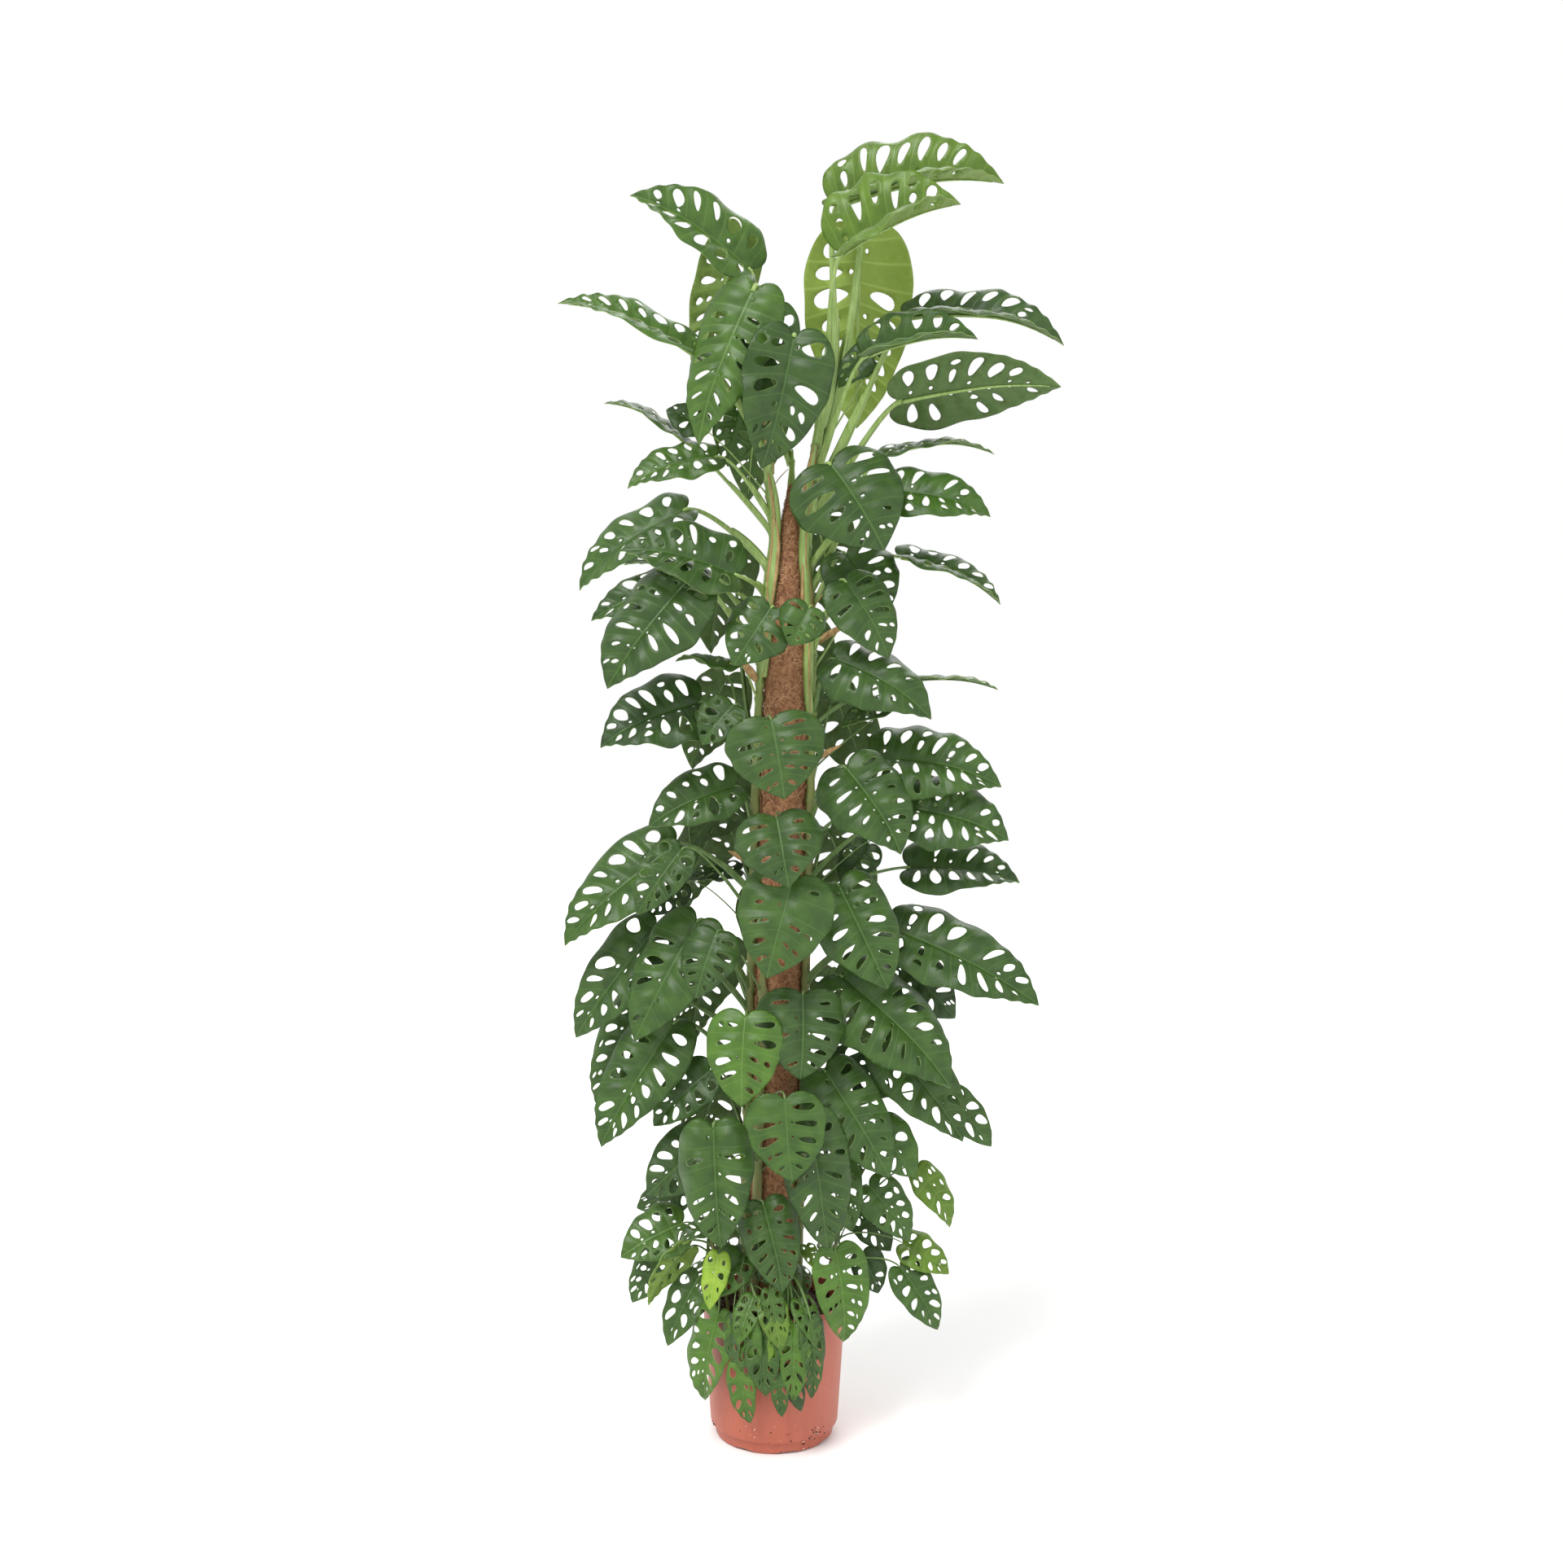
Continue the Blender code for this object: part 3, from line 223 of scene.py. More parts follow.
# node or None where the leaf is one with its stem, stem, foot height, base, tip, width,
# compass and tilt of the upper side, fold of the halves, tone
leaves = (
    # crown
    ("leaf_crown_01", "vine_right", 139, (9.2, 3.5, 170.5), (31.6, -0.5, 173.3), 17, (0, 45), 38, "young"),
    ("leaf_crown_02", "vine_right", 136, (9.3, -6, 161), (24.6, -9, 167.3), 18, (0, 45), 38, "young"),
    ("leaf_crown_03", "vine_left", 156.3, (-3.6, 1.2, 161), (-19.3, -3, 170.4), 13, (-10, 40), 20, "fresh"),
    ("leaf_crown_04", "vine_left", 140, (-4.6, 5, 166.4), (-11.4, 8, 147.6), 9, (180, 15), 8, "young"),
    ("leaf_crown_05", "vine_right", 133, (12.4, 7, 166.4), (11.4, 9, 139.7), 15.5, (180, 10), 8, "lime"),
    ("leaf_crown_06", "vine_left", 136, (-10, -2, 147.8), (-29, -4, 156), 10, (0, 62), 15, "fresh"),
    ("leaf_crown_07", "vine_left", 154.5, (-2.9, -8, 155.4), (-10.6, -9, 135.1), 12, (-15, 12), -12, "fresh"),
    ("leaf_crown_08", "vine_left", 131, (2.6, -11, 148.6), (-1, -10, 131.3), 12, (5, 5), 10, "mid"),
    ("leaf_crown_09", "vine_right", 128, (19, -1, 153.8), (39.5, -5, 150.9), 12, (0, 60), 25, "mid"),
    ("leaf_crown_10", "vine_right", 125, (17.6, -2, 141.9), (38.8, -4, 144), 12, (170, 45), 10, "mid"),
    ("leaf_crown_11", "vine_right", 122, (7.6, -9, 132), (14.8, -11, 120.8), 16, (5, 20), -8, "mid"),
    ("leaf_crown_12", "vine_right", 119, (15.6, -4, 129.4), (29.2, -6.5, 126.2), 10, (10, 40), 8, "mid"),
    (None, "vine_left", 146, (-0.4, -3.6, 153.8), (-2.9, -5, 136.2), 9, (10, 10), 6, "dark"),
    (None, "vine_left", 126, (-8.2, -2, 134.2), (-20.2, -4, 130.7), 9, (0, 50), 8, "fresh"),
    (None, "vine_left", 129, (-10, 0, 138.5), (-15, 1, 141.5), 5.5, (0, 30), 8, "mid"),
    (None, "vine_left", 124, (-12.5, 2, 137), (-23.3, 3, 143.4), 8, (0, 80), 6, "mid"),
    (None, "vine_left", 133, (-4.5, 1.5, 142), (-6.5, 2, 133.4), 7, (0, 15), 6, "mid"),
    (None, "vine_right", 131, (12.7, -6.5, 147.2), (27, -8.5, 149.8), 10, (0, 48), 40, "mid"),
    (None, "vine_right", 135, (14, 1, 149.5), (8.7, 1, 144.5), 5, (0, 20), 8, "mid"),
    (None, "vine_right", 116, (15, 0, 134.8), (30.2, -1, 136.3), 8, (0, 72), 6, "mid"),
    # upper
    ("leaf_upper_01", "vine_left", 119, (-12.9, 4, 127.5), (-28.2, 4, 117.3), 12, (-30, 40), 6, "mid"),
    ("leaf_upper_02", "vine_left", 115, (-5.4, -6, 117.8), (-20.4, -7.5, 121.7), 13, (-10, 45), 15, "mid"),
    ("leaf_upper_03", "vine_left", 106, (-11.5, -8, 116.8), (-22.2, -10.5, 102.5), 13, (-15, 25), -6, "mid"),
    (None, "vine_left", 103, (-0.5, -8, 113), (-5.3, -9, 105.3), 9.5, (-10, 15), -8, "mid"),
    ("leaf_upper_04", "vine_left", 96, (-10.4, -3, 100.5), (-23.6, -6, 95.1), 13, (-15, 35), 8, "dark"),
    ("leaf_upper_05", "vine_left", 91, (-0.4, -12, 98.1), (1.6, -14, 88), 14, (0, 20), -8, "mid"),
    ("leaf_upper_06", "vine_right", 110, (17.7, 0, 120.7), (31.6, -1, 114.9), 9, (0, 68), 15, "mid"),
    ("leaf_upper_07", "vine_right", 107, (9.7, -7, 116.6), (15.7, -8, 106.6), 10, (10, 25), -6, "mid"),
    ("leaf_upper_08", "vine_right", 99, (8.3, -5, 106.4), (21.3, -9, 99.3), 11, (10, 35), -8, "mid"),
    (None, "vine_left", 112, (-9, -2, 118), (-20.5, -2.5, 120), 6, (0, 70), 6, "dark"),
    (None, "vine_left", 109.5, (-10.5, -1, 118), (-25.3, -2, 112.1), 8, (-10, 40), 6, "mid"),
    (None, "vine_left", 101, (-5, -2, 105.8), (-13.5, -2, 106.6), 7, (0, 88), -10, "mid"),
    (None, "vine_left", 93, (-5.6, -7.5, 100), (-9.7, -9, 95), 7, (-10, 20), 6, "mid"),
    (None, "vine_right", 113.5, (10, -1, 121), (15.4, -3, 112.5), 11, (15, 20), 6, "mid"),
    (None, "vine_right", 104, (4.6, -9, 113), (2, -10, 108), 7, (10, 10), -10, "mid"),
    (None, "vine_right", 105, (12.5, -2, 118), (9, -2, 112), 6, (-10, 20), 6, "mid"),
    (None, "vine_right", 97, (19, 0, 103.6), (30.9, -1, 102.7), 8, (0, 89), 6, "mid"),
    (None, "vine_right", 95, (7.5, 3, 103), (12, 4, 100), 5, (180, 20), 6, "dark"),
    (None, "vine_right", 91, (16, -1, 100.5), (9, -2, 97.5), 4.5, (0, 50), 6, "dark"),
    # middle
    ("leaf_middle_01", "vine_left", 83, (-5.4, -3, 89.1), (-17.3, -5, 84.4), 10, (-10, 35), 8, "mid"),
    ("leaf_middle_02", "vine_right", 79, (0.3, -12, 85.3), (1.9, -15.5, 76.8), 12, (0, 22), -8, "mid"),
    ("leaf_middle_03", "vine_left", 74, (-13.8, -3, 80.8), (-28.5, -6, 67.9), 12, (-20, 35), 8, "mid"),
    (None, "vine_left", 71, (-12.5, -8, 80.7), (-18.3, -10, 72.4), 7, (-10, 20), 8, "mid"),
    ("leaf_middle_04", "vine_right", 87, (14, -1, 93), (31.1, -4, 90.2), 13, (10, 40), 6, "mid"),
    ("leaf_middle_05", "vine_right", 84, (9.7, -8, 91.6), (17.2, -11, 80.9), 13, (10, 25), -8, "mid"),
    ("leaf_middle_06", "vine_right", 76, (18.7, -4, 86.2), (31.8, -6, 82.5), 12, (10, 35), 6, "mid"),
    ("leaf_middle_07", "vine_right", 72, (19, 1, 77.6), (33.9, -1, 76.4), 11, (0, 48), 8, "mid"),
    ("leaf_middle_08", "vine_right", 69, (8.7, -8, 75.9), (14.8, -11, 62.6), 12, (5, 25), -8, "mid"),
    ("leaf_middle_09", "vine_left", 67, (2.5, -12.5, 77.3), (-1.1, -15, 64.8), 12.5, (0, 22), -8, "mid"),
    ("leaf_middle_10", "vine_right", 62, (16.8, -3, 69.4), (35.7, -7, 60), 13, (15, 40), 6, "mid"),
    (None, "vine_left", 86, (-4.6, 3, 87.5), (-12.2, 4, 80.7), 8, (200, 20), 6, "dark"),
    (None, "vine_left", 69, (-12.8, 0, 75.5), (-18, 0, 71.2), 5.5, (0, 10), 6, "dark"),
    (None, "vine_left", 72, (-5, 3, 77), (-12.8, 3, 75.4), 6, (0, 70), 6, "dark"),
    (None, "vine_right", 81, (17, 2, 88), (27.2, 1, 87), 8, (180, 45), 6, "fresh"),
    (None, "vine_right", 74, (13.2, 3, 80.6), (9.4, 3, 75), 6, (0, 35), 6, "dark"),
    # lower
    ("leaf_lower_01", "vine_right", 56, (9.3, -6, 63.5), (24, -10, 50), 13, (10, 30), -8, "mid"),
    ("leaf_lower_02", "vine_right", 49, (15.4, -2, 53.9), (26, -5, 41.3), 11, (10, 25), 6, "mid"),
    ("leaf_lower_03", "vine_right", 44, (7, -6.8, 50.8), (15.4, -9.5, 37.4), 10.5, (10, 22), -6, "mid"),
    ("leaf_lower_04", "vine_front", 43, (1.4, -14, 48.8), (2.1, -15, 38.3), 11, (0, 22), -8, "mid"),
    ("leaf_lower_05", "vine_right", 52, (3.8, -10, 61.7), (3.7, -12, 50.9), 12, (5, 18), -8, "mid"),
    ("leaf_lower_06", "vine_front", 52, (-3.8, -12, 59.2), (-4.5, -14, 47.8), 10.5, (-8, 20), -8, "fresh"),
    ("leaf_lower_07", "vine_front", 61, (-7.7, -9, 69.7), (-10.5, -11, 61.5), 8, (-10, 20), -6, "mid"),
    ("leaf_lower_08", "vine_left", 61, (-10.5, -6, 70.8), (-18.5, -9, 55.3), 11, (-12, 22), -8, "mid"),
    ("leaf_lower_09", "vine_left", 58, (-16.4, -2, 69.3), (-27.2, -4, 54.8), 10, (-15, 25), 6, "mid"),
    ("leaf_lower_10", "vine_left", 49, (-13.8, -4, 56.7), (-23.5, -6, 40.5), 11, (-15, 20), 6, "mid"),
    ("leaf_lower_11", "vine_front", 38, (-8, -12, 44.6), (-7, -13, 29), 10, (-5, 18), -8, "mid"),
    (None, "vine_left", 53, (-18, 1, 60), (-24.9, 0, 44.4), 8, (-20, 15), 6, "mid"),
    (None, "vine_left", 44, (-8.8, -5, 50.6), (-16.5, -6, 43.5), 7, (-10, 25), 6, "dark"),
    (None, "vine_left", 35, (-9.3, -4, 41), (-17.2, -5, 33.5), 9, (-10, 25), 6, "mid"),
    (None, "vine_right", 59, (17, 0, 64.5), (25.3, -1, 57.2), 8.5, (10, 20), 6, "dark"),
    (None, "vine_right", 40, (24, 1, 46), (30.3, 0, 39), 5.5, (10, 20), 6, "mid"),
    (None, "vine_right", 46, (7, -2, 52.9), (16, -4, 46.9), 8, (0, 30), 6, "dark"),
    (None, "vine_right", 36, (13.8, -4, 43), (19.1, -5, 36.1), 7, (10, 25), 6, "mid"),
    # round the pot
    ("leaf_base_01", "vine_front", 27, (-1.4, -10, 34), (1.5, -12, 23.1), 8.5, (0, 20), -8, "mid"),
    ("leaf_base_02", "vine_right", 38, (4.6, -11.5, 45.4), (7.3, -12.5, 28.4), 9, (5, 18), -6, "mid"),
    (None, "shoot_right", 25, (8.2, -9, 27.5), (9.8, -9.5, 15.4), 8, (15, 15), 6, "fresh"),
    (None, "shoot_left", 22, (-7.5, -8, 18.9), (-9.5, -7.5, 6.8), 8, (-42, 10), 6, "fresh"),
    (None, "shoot_left", 28, (-12.5, -4, 29.7), (-20.8, -6, 25.9), 8, (-15, 35), 6, "fresh"),
    (None, "shoot_left", 26, (-14.4, -2, 25.7), (-19.6, -3, 18.5), 6, (-15, 20), 6, "mid"),
    (None, "shoot_left", 24, (-11.5, -6, 27), (-17.2, -8, 20.3), 5, (-150, 20), 6, "young"),
    (None, "shoot_left", 21, (-10.3, -4, 22.3), (-14.6, -6, 13.8), 6, (-20, 20), 6, "mid"),
    (None, "shoot_left", 28.5, (-12, 0, 33), (-19.1, 0, 30.5), 6, (-20, 45), 6, "mid"),
    (None, "shoot_front_left", 24, (-7.4, -9, 27), (-8.5, -11, 20.4), 3.8, (-10, 15), 10, "lime"),
    (None, "shoot_front_left", 23, (-4.4, -7.4, 26.3), (-8.6, -9, 21.2), 6, (-10, 25), 6, "mid"),
    (None, "shoot_front_left", 23, (-3.5, -11.4, 15.8), (-0.4, -11.6, 10.1), 4.5, (-5, 5), 6, "mid"),
    (None, "shoot_front_left", 22.5, (-4.6, -11.2, 13.3), (-3.4, -11.4, 5.3), 4, (-15, 5), 6, "fresh"),
    (None, "shoot_front_right", 23.5, (0.5, -12.4, 12.6), (1.1, -12.2, 6.6), 2.5, (0, 5), 6, "mid"),
    (None, "shoot_front_right", 23, (2.2, -11.8, 13.2), (3.4, -11.4, 7), 2.8, (0, 5), 6, "dark"),
    (None, "shoot_front_right", 24, (4.8, -11.2, 19), (4.9, -11.2, 8.6), 3.8, (15, 5), 6, "mid"),
    (None, "shoot_front_right", 24.5, (-0.6, -10.4, 22.8), (0.8, -11.8, 17.6), 3.2, (0, 20), 6, "fresh"),
    (None, "shoot_right", 29, (8.2, -6, 39), (10.3, -8, 29.6), 6, (5, 20), 6, "mid"),
    (None, "shoot_right", 28.5, (12.9, -5, 35), (18.6, -6, 28.1), 7, (15, 25), 6, "mid"),
    (None, "shoot_right", 29, (20, 0, 35.8), (24.9, -1, 28.5), 5.5, (30, 30), 6, "young"),
    (None, "shoot_right", 27, (17.8, -2, 26.3), (24, -3, 22.6), 6, (20, 45), 6, "young"),
    (None, "shoot_right", 23, (17.2, -4, 23.6), (22.6, -5, 15.6), 6, (15, 25), 6, "mid"),
    (None, "shoot_right", 22, (12.1, -3, 25.3), (14.3, -4, 20.1), 5, (10, 20), 6, "dark"),
    (None, "shoot_right", 26, (12, 0, 30), (16, -1, 24.8), 5.5, (0, 30), 6, "mid"),
    # back of the plant
    (None, "vine_rear", 134, (-2, 8, 146), (-4, 13, 130), 10, (185, 20), -6, "mid"),
    (None, "vine_rear", 116, (6, 9, 128), (9, 14, 113), 11, (170, 22), -6, "mid"),
    (None, "vine_rear", 99, (3, 10, 112), (3, 15, 97), 12, (180, 22), -6, "mid"),
    (None, "vine_rear", 82, (0, 10, 94), (-1, 15, 80), 12, (180, 22), -6, "mid"),
    (None, "vine_rear", 63, (0, 11, 74), (1, 16, 59), 12, (180, 22), -6, "mid"),
    (None, "vine_rear", 44, (0, 11, 54), (-1, 15, 40), 11, (180, 22), -6, "mid"),
    (None, "vine_rear", 29, (1, 11, 36), (2, 13, 24), 9, (180, 22), -6, "mid"),
    (None, "vine_rear_left", 91, (-6, 8, 122), (-10, 13, 108), 10, (200, 22), -6, "mid"),
    (None, "vine_rear_left", 88, (-7, 8, 104), (-12, 12, 91), 10, (205, 22), -6, "mid"),
    (None, "vine_rear_left", 73, (-8, 8, 84), (-14, 12, 70), 10, (205, 22), -6, "mid"),
    (None, "vine_rear_left", 56, (-8, 9, 66), (-13, 13, 51), 11, (205, 22), -6, "mid"),
    (None, "vine_rear_left", 37, (-8, 9, 46), (-12, 12, 33), 9, (205, 22), -6, "mid"),
    (None, "vine_rear_right", 86, (9, 9, 101), (14, 13, 88), 11, (155, 22), -6, "mid"),
    (None, "vine_rear_right", 70, (8, 9, 82), (13, 13, 67), 11, (155, 22), -6, "mid"),
    (None, "vine_rear_right", 51, (9, 9, 62), (14, 12, 48), 11, (155, 22), -6, "mid"),
    (None, "vine_rear_right", 34, (8, 9, 44), (12, 11, 31), 9, (155, 22), -6, "mid"),
    (None, "shoot_rear", 23, (-6.5, 11, 25), (-8, 12.5, 14), 6, (205, 15), 6, "mid"),
    (None, "shoot_rear", 24, (-2.5, 12, 27), (-2, 13.5, 16), 5.5, (180, 15), 6, "fresh"),
)


def poleRadius(height):
    if height <= pole["shoulder"]:
        return pole["radius"]
    share = min(1.0, (height - pole["shoulder"]) / (pole["top"] - pole["shoulder"]))
    return pole["radius"] * (1.0 - 0.30 * share - 0.62 * share ** 3)


def poleAxis(height):
    return Vector((pole["footX"] + (height - ground["level"]) * math.tan(pole["lean"]), pole["y"], height))


def stemLine(name):  # centre line of a stem from its roots up, every couple of centimetres
    if name in shoots:
        line = [Vector(point) * cm for point in shoots[name]]
        line[0].z = ground["level"] - ground["roots"]
        return [Vector(p) for p in smoothLine(line, 0.008)]
    turns = climbing[name]
    heights = [turn[0] for turn in turns]
    bottom, top = ground["level"] - ground["roots"], heights[-1] * cm
    line = []
    for height in np.linspace(bottom, top, round((top - bottom) / stem["step"]) + 1):
        angle = np.interp(height / cm, heights, [turn[1] for turn in turns])
        off = np.interp(height / cm, heights, [turn[2] for turn in turns]) * cm
        coir = max(poleRadius(height), stem["core"]) / math.cos(math.pi / 20)
        line.append(poleAxis(height) + compass(angle) * (coir + stem["vine"] + off))
    return line


def onLine(line, height):
    height = min(max(height, line[0].z), line[-1].z)
    for low, high in zip(line, line[1:]):
        if height <= high.z:
            return low.lerp(high, (height - low.z) / max(high.z - low.z, 1e-9))
    return line[-1].copy()


stemLines = {name: stemLine(name) for name in [*climbing, *shoots]}
print("plan: %d stems, %d leaves" % (len(stemLines), len(leaves)))


leafTones = {  # upper side, its deeper patches, its veins, and the underside
    "young": dict(blade="#587522", deep="#486319", vein="#76933E", under="#7C934C"),
    # this tone is the bright lime of a leaf lit through from behind: painted light in its blade, vein and underside
    # colours
    "lime": dict(blade="#7D9833", deep="#688628", vein="#A2B85F", under="#93A952"),
    "fresh": dict(blade="#426220", deep="#345118", vein="#5D7D38", under="#6B8249"),
    "mid": dict(blade="#36521D", deep="#284215", vein="#4A6B30", under="#5F7643"),
    "dark": dict(blade="#2D471A", deep="#203712", vein="#41602C", under="#566E3F"),
}
leafLook = dict(patchMm=24, areoleMm=2.6, roughness=0.38, veinWide=0.06, midribWide=0.028)


def leafTop(tone):  # the upper cuticle: satin gloss, paler sunk veins, quilted and slightly mottled tissue
    colours = leafTones[tone]
    finish, tree, shader = newMaterial("waxyLeafTop_" + tone, {"IOR": 1.45, "Specular IOR Level": 0.45})
    place = addNode(tree, "TexCoord").outputs["Object"]
    pattern = addNode(tree, "UVMap", {"uv_map": "leaf"})
    pair = addNode(tree, "SeparateXYZ", links={0: pattern.outputs[0]})
    gap = addNode(tree, "Math", {"operation": "PINGPONG", 1: 0.5}, {0: pair.outputs[1]})
    lateral = addNode(tree, "MapRange", {"interpolation_type": "SMOOTHSTEP", "From Min": 0.0,
                      "From Max": leafLook["veinWide"], "To Min": 0.4, "To Max": 0.0}, {"Value": gap.outputs[0]})
    middle = addNode(tree, "Math", {"operation": "ABSOLUTE"}, {0: pair.outputs[0]})
    midrib = addNode(tree, "MapRange", {"interpolation_type": "SMOOTHSTEP", "From Min": 0.0,
                     "From Max": leafLook["midribWide"], "To Min": 0.8, "To Max": 0.0}, {"Value": middle.outputs[0]})
    veins = addNode(tree, "Math", {"operation": "MAXIMUM"}, {0: lateral.outputs[0], 1: midrib.outputs[0]})
    patches = addNode(tree, "TexNoise", {"Scale": 1 / (leafLook["patchMm"] * mm), "Detail": 4.0}, {"Vector": place})
    spread = addNode(tree, "MapRange", {"From Min": 0.35, "From Max": 0.65}, {"Value": patches.outputs[0]})
    tissue = addNode(tree, "Mix", {"data_type": "RGBA", 6: hexColour(colours["blade"]),
                     7: hexColour(colours["deep"])}, {0: spread.outputs[0]})
    shade = addNode(tree, "Attribute", {"attribute_name": "leafShade"})
    lighter = addNode(tree, "Mix", {"data_type": "RGBA", "blend_type": "SOFT_LIGHT",
                      7: hexColour("#E8F0B0")}, {0: shade.outputs["Fac"], 6: tissue.outputs[2]})
    coloured = addNode(tree, "Mix", {"data_type": "RGBA", 7: hexColour(colours["vein"])},
                       {0: veins.outputs[0], 6: lighter.outputs[2]})
    areoles = addNode(tree, "TexVoronoi", {"feature": "DISTANCE_TO_EDGE",
                      "Scale": 1 / (leafLook["areoleMm"] * mm)}, {"Vector": place})
    relief = addNode(tree, "MapRange", {"From Max": 0.2}, {"Value": areoles.outputs["Distance"]})
    bump = addNode(tree, "Bump", {"Strength": 0.22, "Distance": 0.0004}, {"Height": relief.outputs[0]})
    gloss = addNode(tree, "MapRange", {"To Min": leafLook["roughness"] - 0.07,
                    "To Max": leafLook["roughness"] + 0.09}, {"Value": patches.outputs[0]})
    tree.links.new(coloured.outputs[2], shader.inputs["Base Color"])
    tree.links.new(gloss.outputs[0], shader.inputs["Roughness"])
    tree.links.new(bump.outputs[0], shader.inputs["Normal"])
    return finish


def leafUnder(tone):  # the underside: no wax, so dull and greyer, with a paler net of raised veins
    finish, tree, shader = newMaterial("leafUnderside_" + tone, {"IOR": 1.42, "Roughness": 0.62})
    place = addNode(tree, "TexCoord").outputs["Object"]
    pattern = addNode(tree, "UVMap", {"uv_map": "leaf"})
    pair = addNode(tree, "SeparateXYZ", links={0: pattern.outputs[0]})
    gap = addNode(tree, "Math", {"operation": "PINGPONG", 1: 0.5}, {0: pair.outputs[1]})
    lateral = addNode(tree, "MapRange", {"From Max": 0.08, "To Min": 0.8, "To Max": 0.0}, {"Value": gap.outputs[0]})
    patches = addNode(tree, "TexNoise", {"Scale": 1 / (9 * mm), "Detail": 5.0}, {"Vector": place})
    colours = leafTones[tone]
    tissue = addNode(tree, "Mix", {"data_type": "RGBA", 6: hexColour(colours["under"]),
                     7: hexColour(colours["blade"])}, {0: patches.outputs[0]})
    coloured = addNode(tree, "Mix", {"data_type": "RGBA", 7: hexColour(colours["vein"])},
                       {0: lateral.outputs[0], 6: tissue.outputs[2]})
    bump = addNode(tree, "Bump", {"Strength": 0.3, "Distance": 0.0005}, {"Height": patches.outputs[0]})
    tree.links.new(coloured.outputs[2], shader.inputs["Base Color"])
    tree.links.new(bump.outputs[0], shader.inputs["Normal"])
    return finish


def plainSkin(name, low, high, grainMm, roughness, stretch=(1, 1, 1), depth=0.0004, strength=0.3):
    finish, tree, shader = newMaterial(name)  # a grown or pressed surface with one grain, darker where it is deep: its own mottled tone plus painted shade in the grain's hollows
    place = addNode(tree, "TexCoord").outputs["Object"]
    scaled = addNode(tree, "Mapping", {"Scale": stretch}, {"Vector": place})
    grain = addNode(tree, "TexNoise", {"Scale": 1 / (grainMm * mm), "Detail": 6.0, "Roughness": 0.6},
                    {"Vector": scaled.outputs[0]})
    colour = addNode(tree, "ValToRGB", {"stops": ((0.34, low), (0.66, high))}, {0: grain.outputs[0]})
    gloss = addNode(tree, "MapRange", {"To Min": roughness - 0.08, "To Max": roughness + 0.08},
                    {"Value": grain.outputs[0]})
    bump = addNode(tree, "Bump", {"Strength": strength, "Distance": depth}, {"Height": grain.outputs[0]})
    tree.links.new(colour.outputs[0], shader.inputs["Base Color"])
    tree.links.new(gloss.outputs[0], shader.inputs["Roughness"])
    tree.links.new(bump.outputs[0], shader.inputs["Normal"])
    return finish


def greenUpTo(finish, code, low=0.82, high=1.12):  # bark gives way to young skin with height
    tree = finish.node_tree
    shader = tree.nodes["Principled BSDF"]
    bark = shader.inputs["Base Color"].links[0].from_socket
    place = addNode(tree, "TexCoord").outputs["Object"]
    height = addNode(tree, "SeparateXYZ", links={0: place})
    young = addNode(tree, "MapRange", {"From Min": low, "From Max": high, "To Max": 0.85}, {"Value": height.outputs[2]})
    mixed = addNode(tree, "Mix", {"data_type": "RGBA", 7: hexColour(code)}, {0: young.outputs[0], 6: bark})
    tree.links.new(mixed.outputs[2], shader.inputs["Base Color"])


topFinish = {tone: leafTop(tone) for tone in leafTones}
underFinish = {tone: leafUnder(tone) for tone in leafTones}
# the thin margin where both skins meet lets light through, so it is paler than the blade
edgeFinish = plainSkin("leafMargin", "#6F8A42", "#88A056", 6, 0.45)
# petioles: firm ribbed skin, pale green, streaked along their length
youngStalk = plainSkin("petioleYoung", "#7A9748", "#9DB56C", 5, 0.42, stretch=(1, 1, 0.15))
leafStalk = plainSkin("petioleMature", "#4F6C33", "#6E8A4C", 5, 0.45, stretch=(1, 1, 0.15))
# climbing stems: older green skin with corky tan patches and leaf scars
barkFinish = plainSkin("vineSkin", "#66743C", "#86844F", 7, 0.55, stretch=(1, 1, 0.35), depth=0.0008)
greenUpTo(barkFinish, "#7F9C4C")
# aerial roots: dry brown cork, ridged along the root, quite matt
rootFinish = plainSkin("aerialRoot", "#6B4A30", "#9A774F", 2, 0.8, stretch=(1, 1, 0.4), depth=0.0006)
# old petiole sheaths: papery straw-coloured tissue with fine lengthwise ribs
sheathFinish = plainSkin("driedSheath", "#8E6A42", "#C6A470", 4, 0.7, stretch=(1, 1, 0.2))
print("leaf and stem finishes ready")


leafShape = dict(  # half outline: share of the half width, place along the midrib
    outline=((0, 0), (0.06, -0.035), (0.20, -0.078), (0.42, -0.092), (0.66, -0.055), (0.86, 0.03),
             (0.975, 0.15), (1.0, 0.28), (0.955, 0.42), (0.85, 0.56), (0.69, 0.69), (0.49, 0.81),
             (0.28, 0.90), (0.12, 0.96), (0.035, 0.988), (0, 1.0)),
    thickness=0.0008, veinRise=0.86, veinBack=-0.04, veinForward=0.36, veinBend=1.2,
    arch=0.05, droop=(0.03, 0.10), twist=12, curl=(0.08, 0.22), sickle=0.05, wave=0.055,
    quilt=0.019, quiltMost=0.0036, ribWide=0.0022, ribSink=0.006, ribSinkMost=0.0012,
)


def alongVein(x, q):  # place along the leaf of the vein that leaves the midrib at share q
    slant = leafShape["veinBack"] + leafShape["veinForward"] * q
    return leafShape["veinRise"] * q + slant * abs(x) ** leafShape["veinBend"]


def veinAt(x, t):  # the other way round
    out = np.abs(x) ** leafShape["veinBend"]
    return (t - leafShape["veinBack"] * out) / (leafShape["veinRise"] + leafShape["veinForward"] * out)


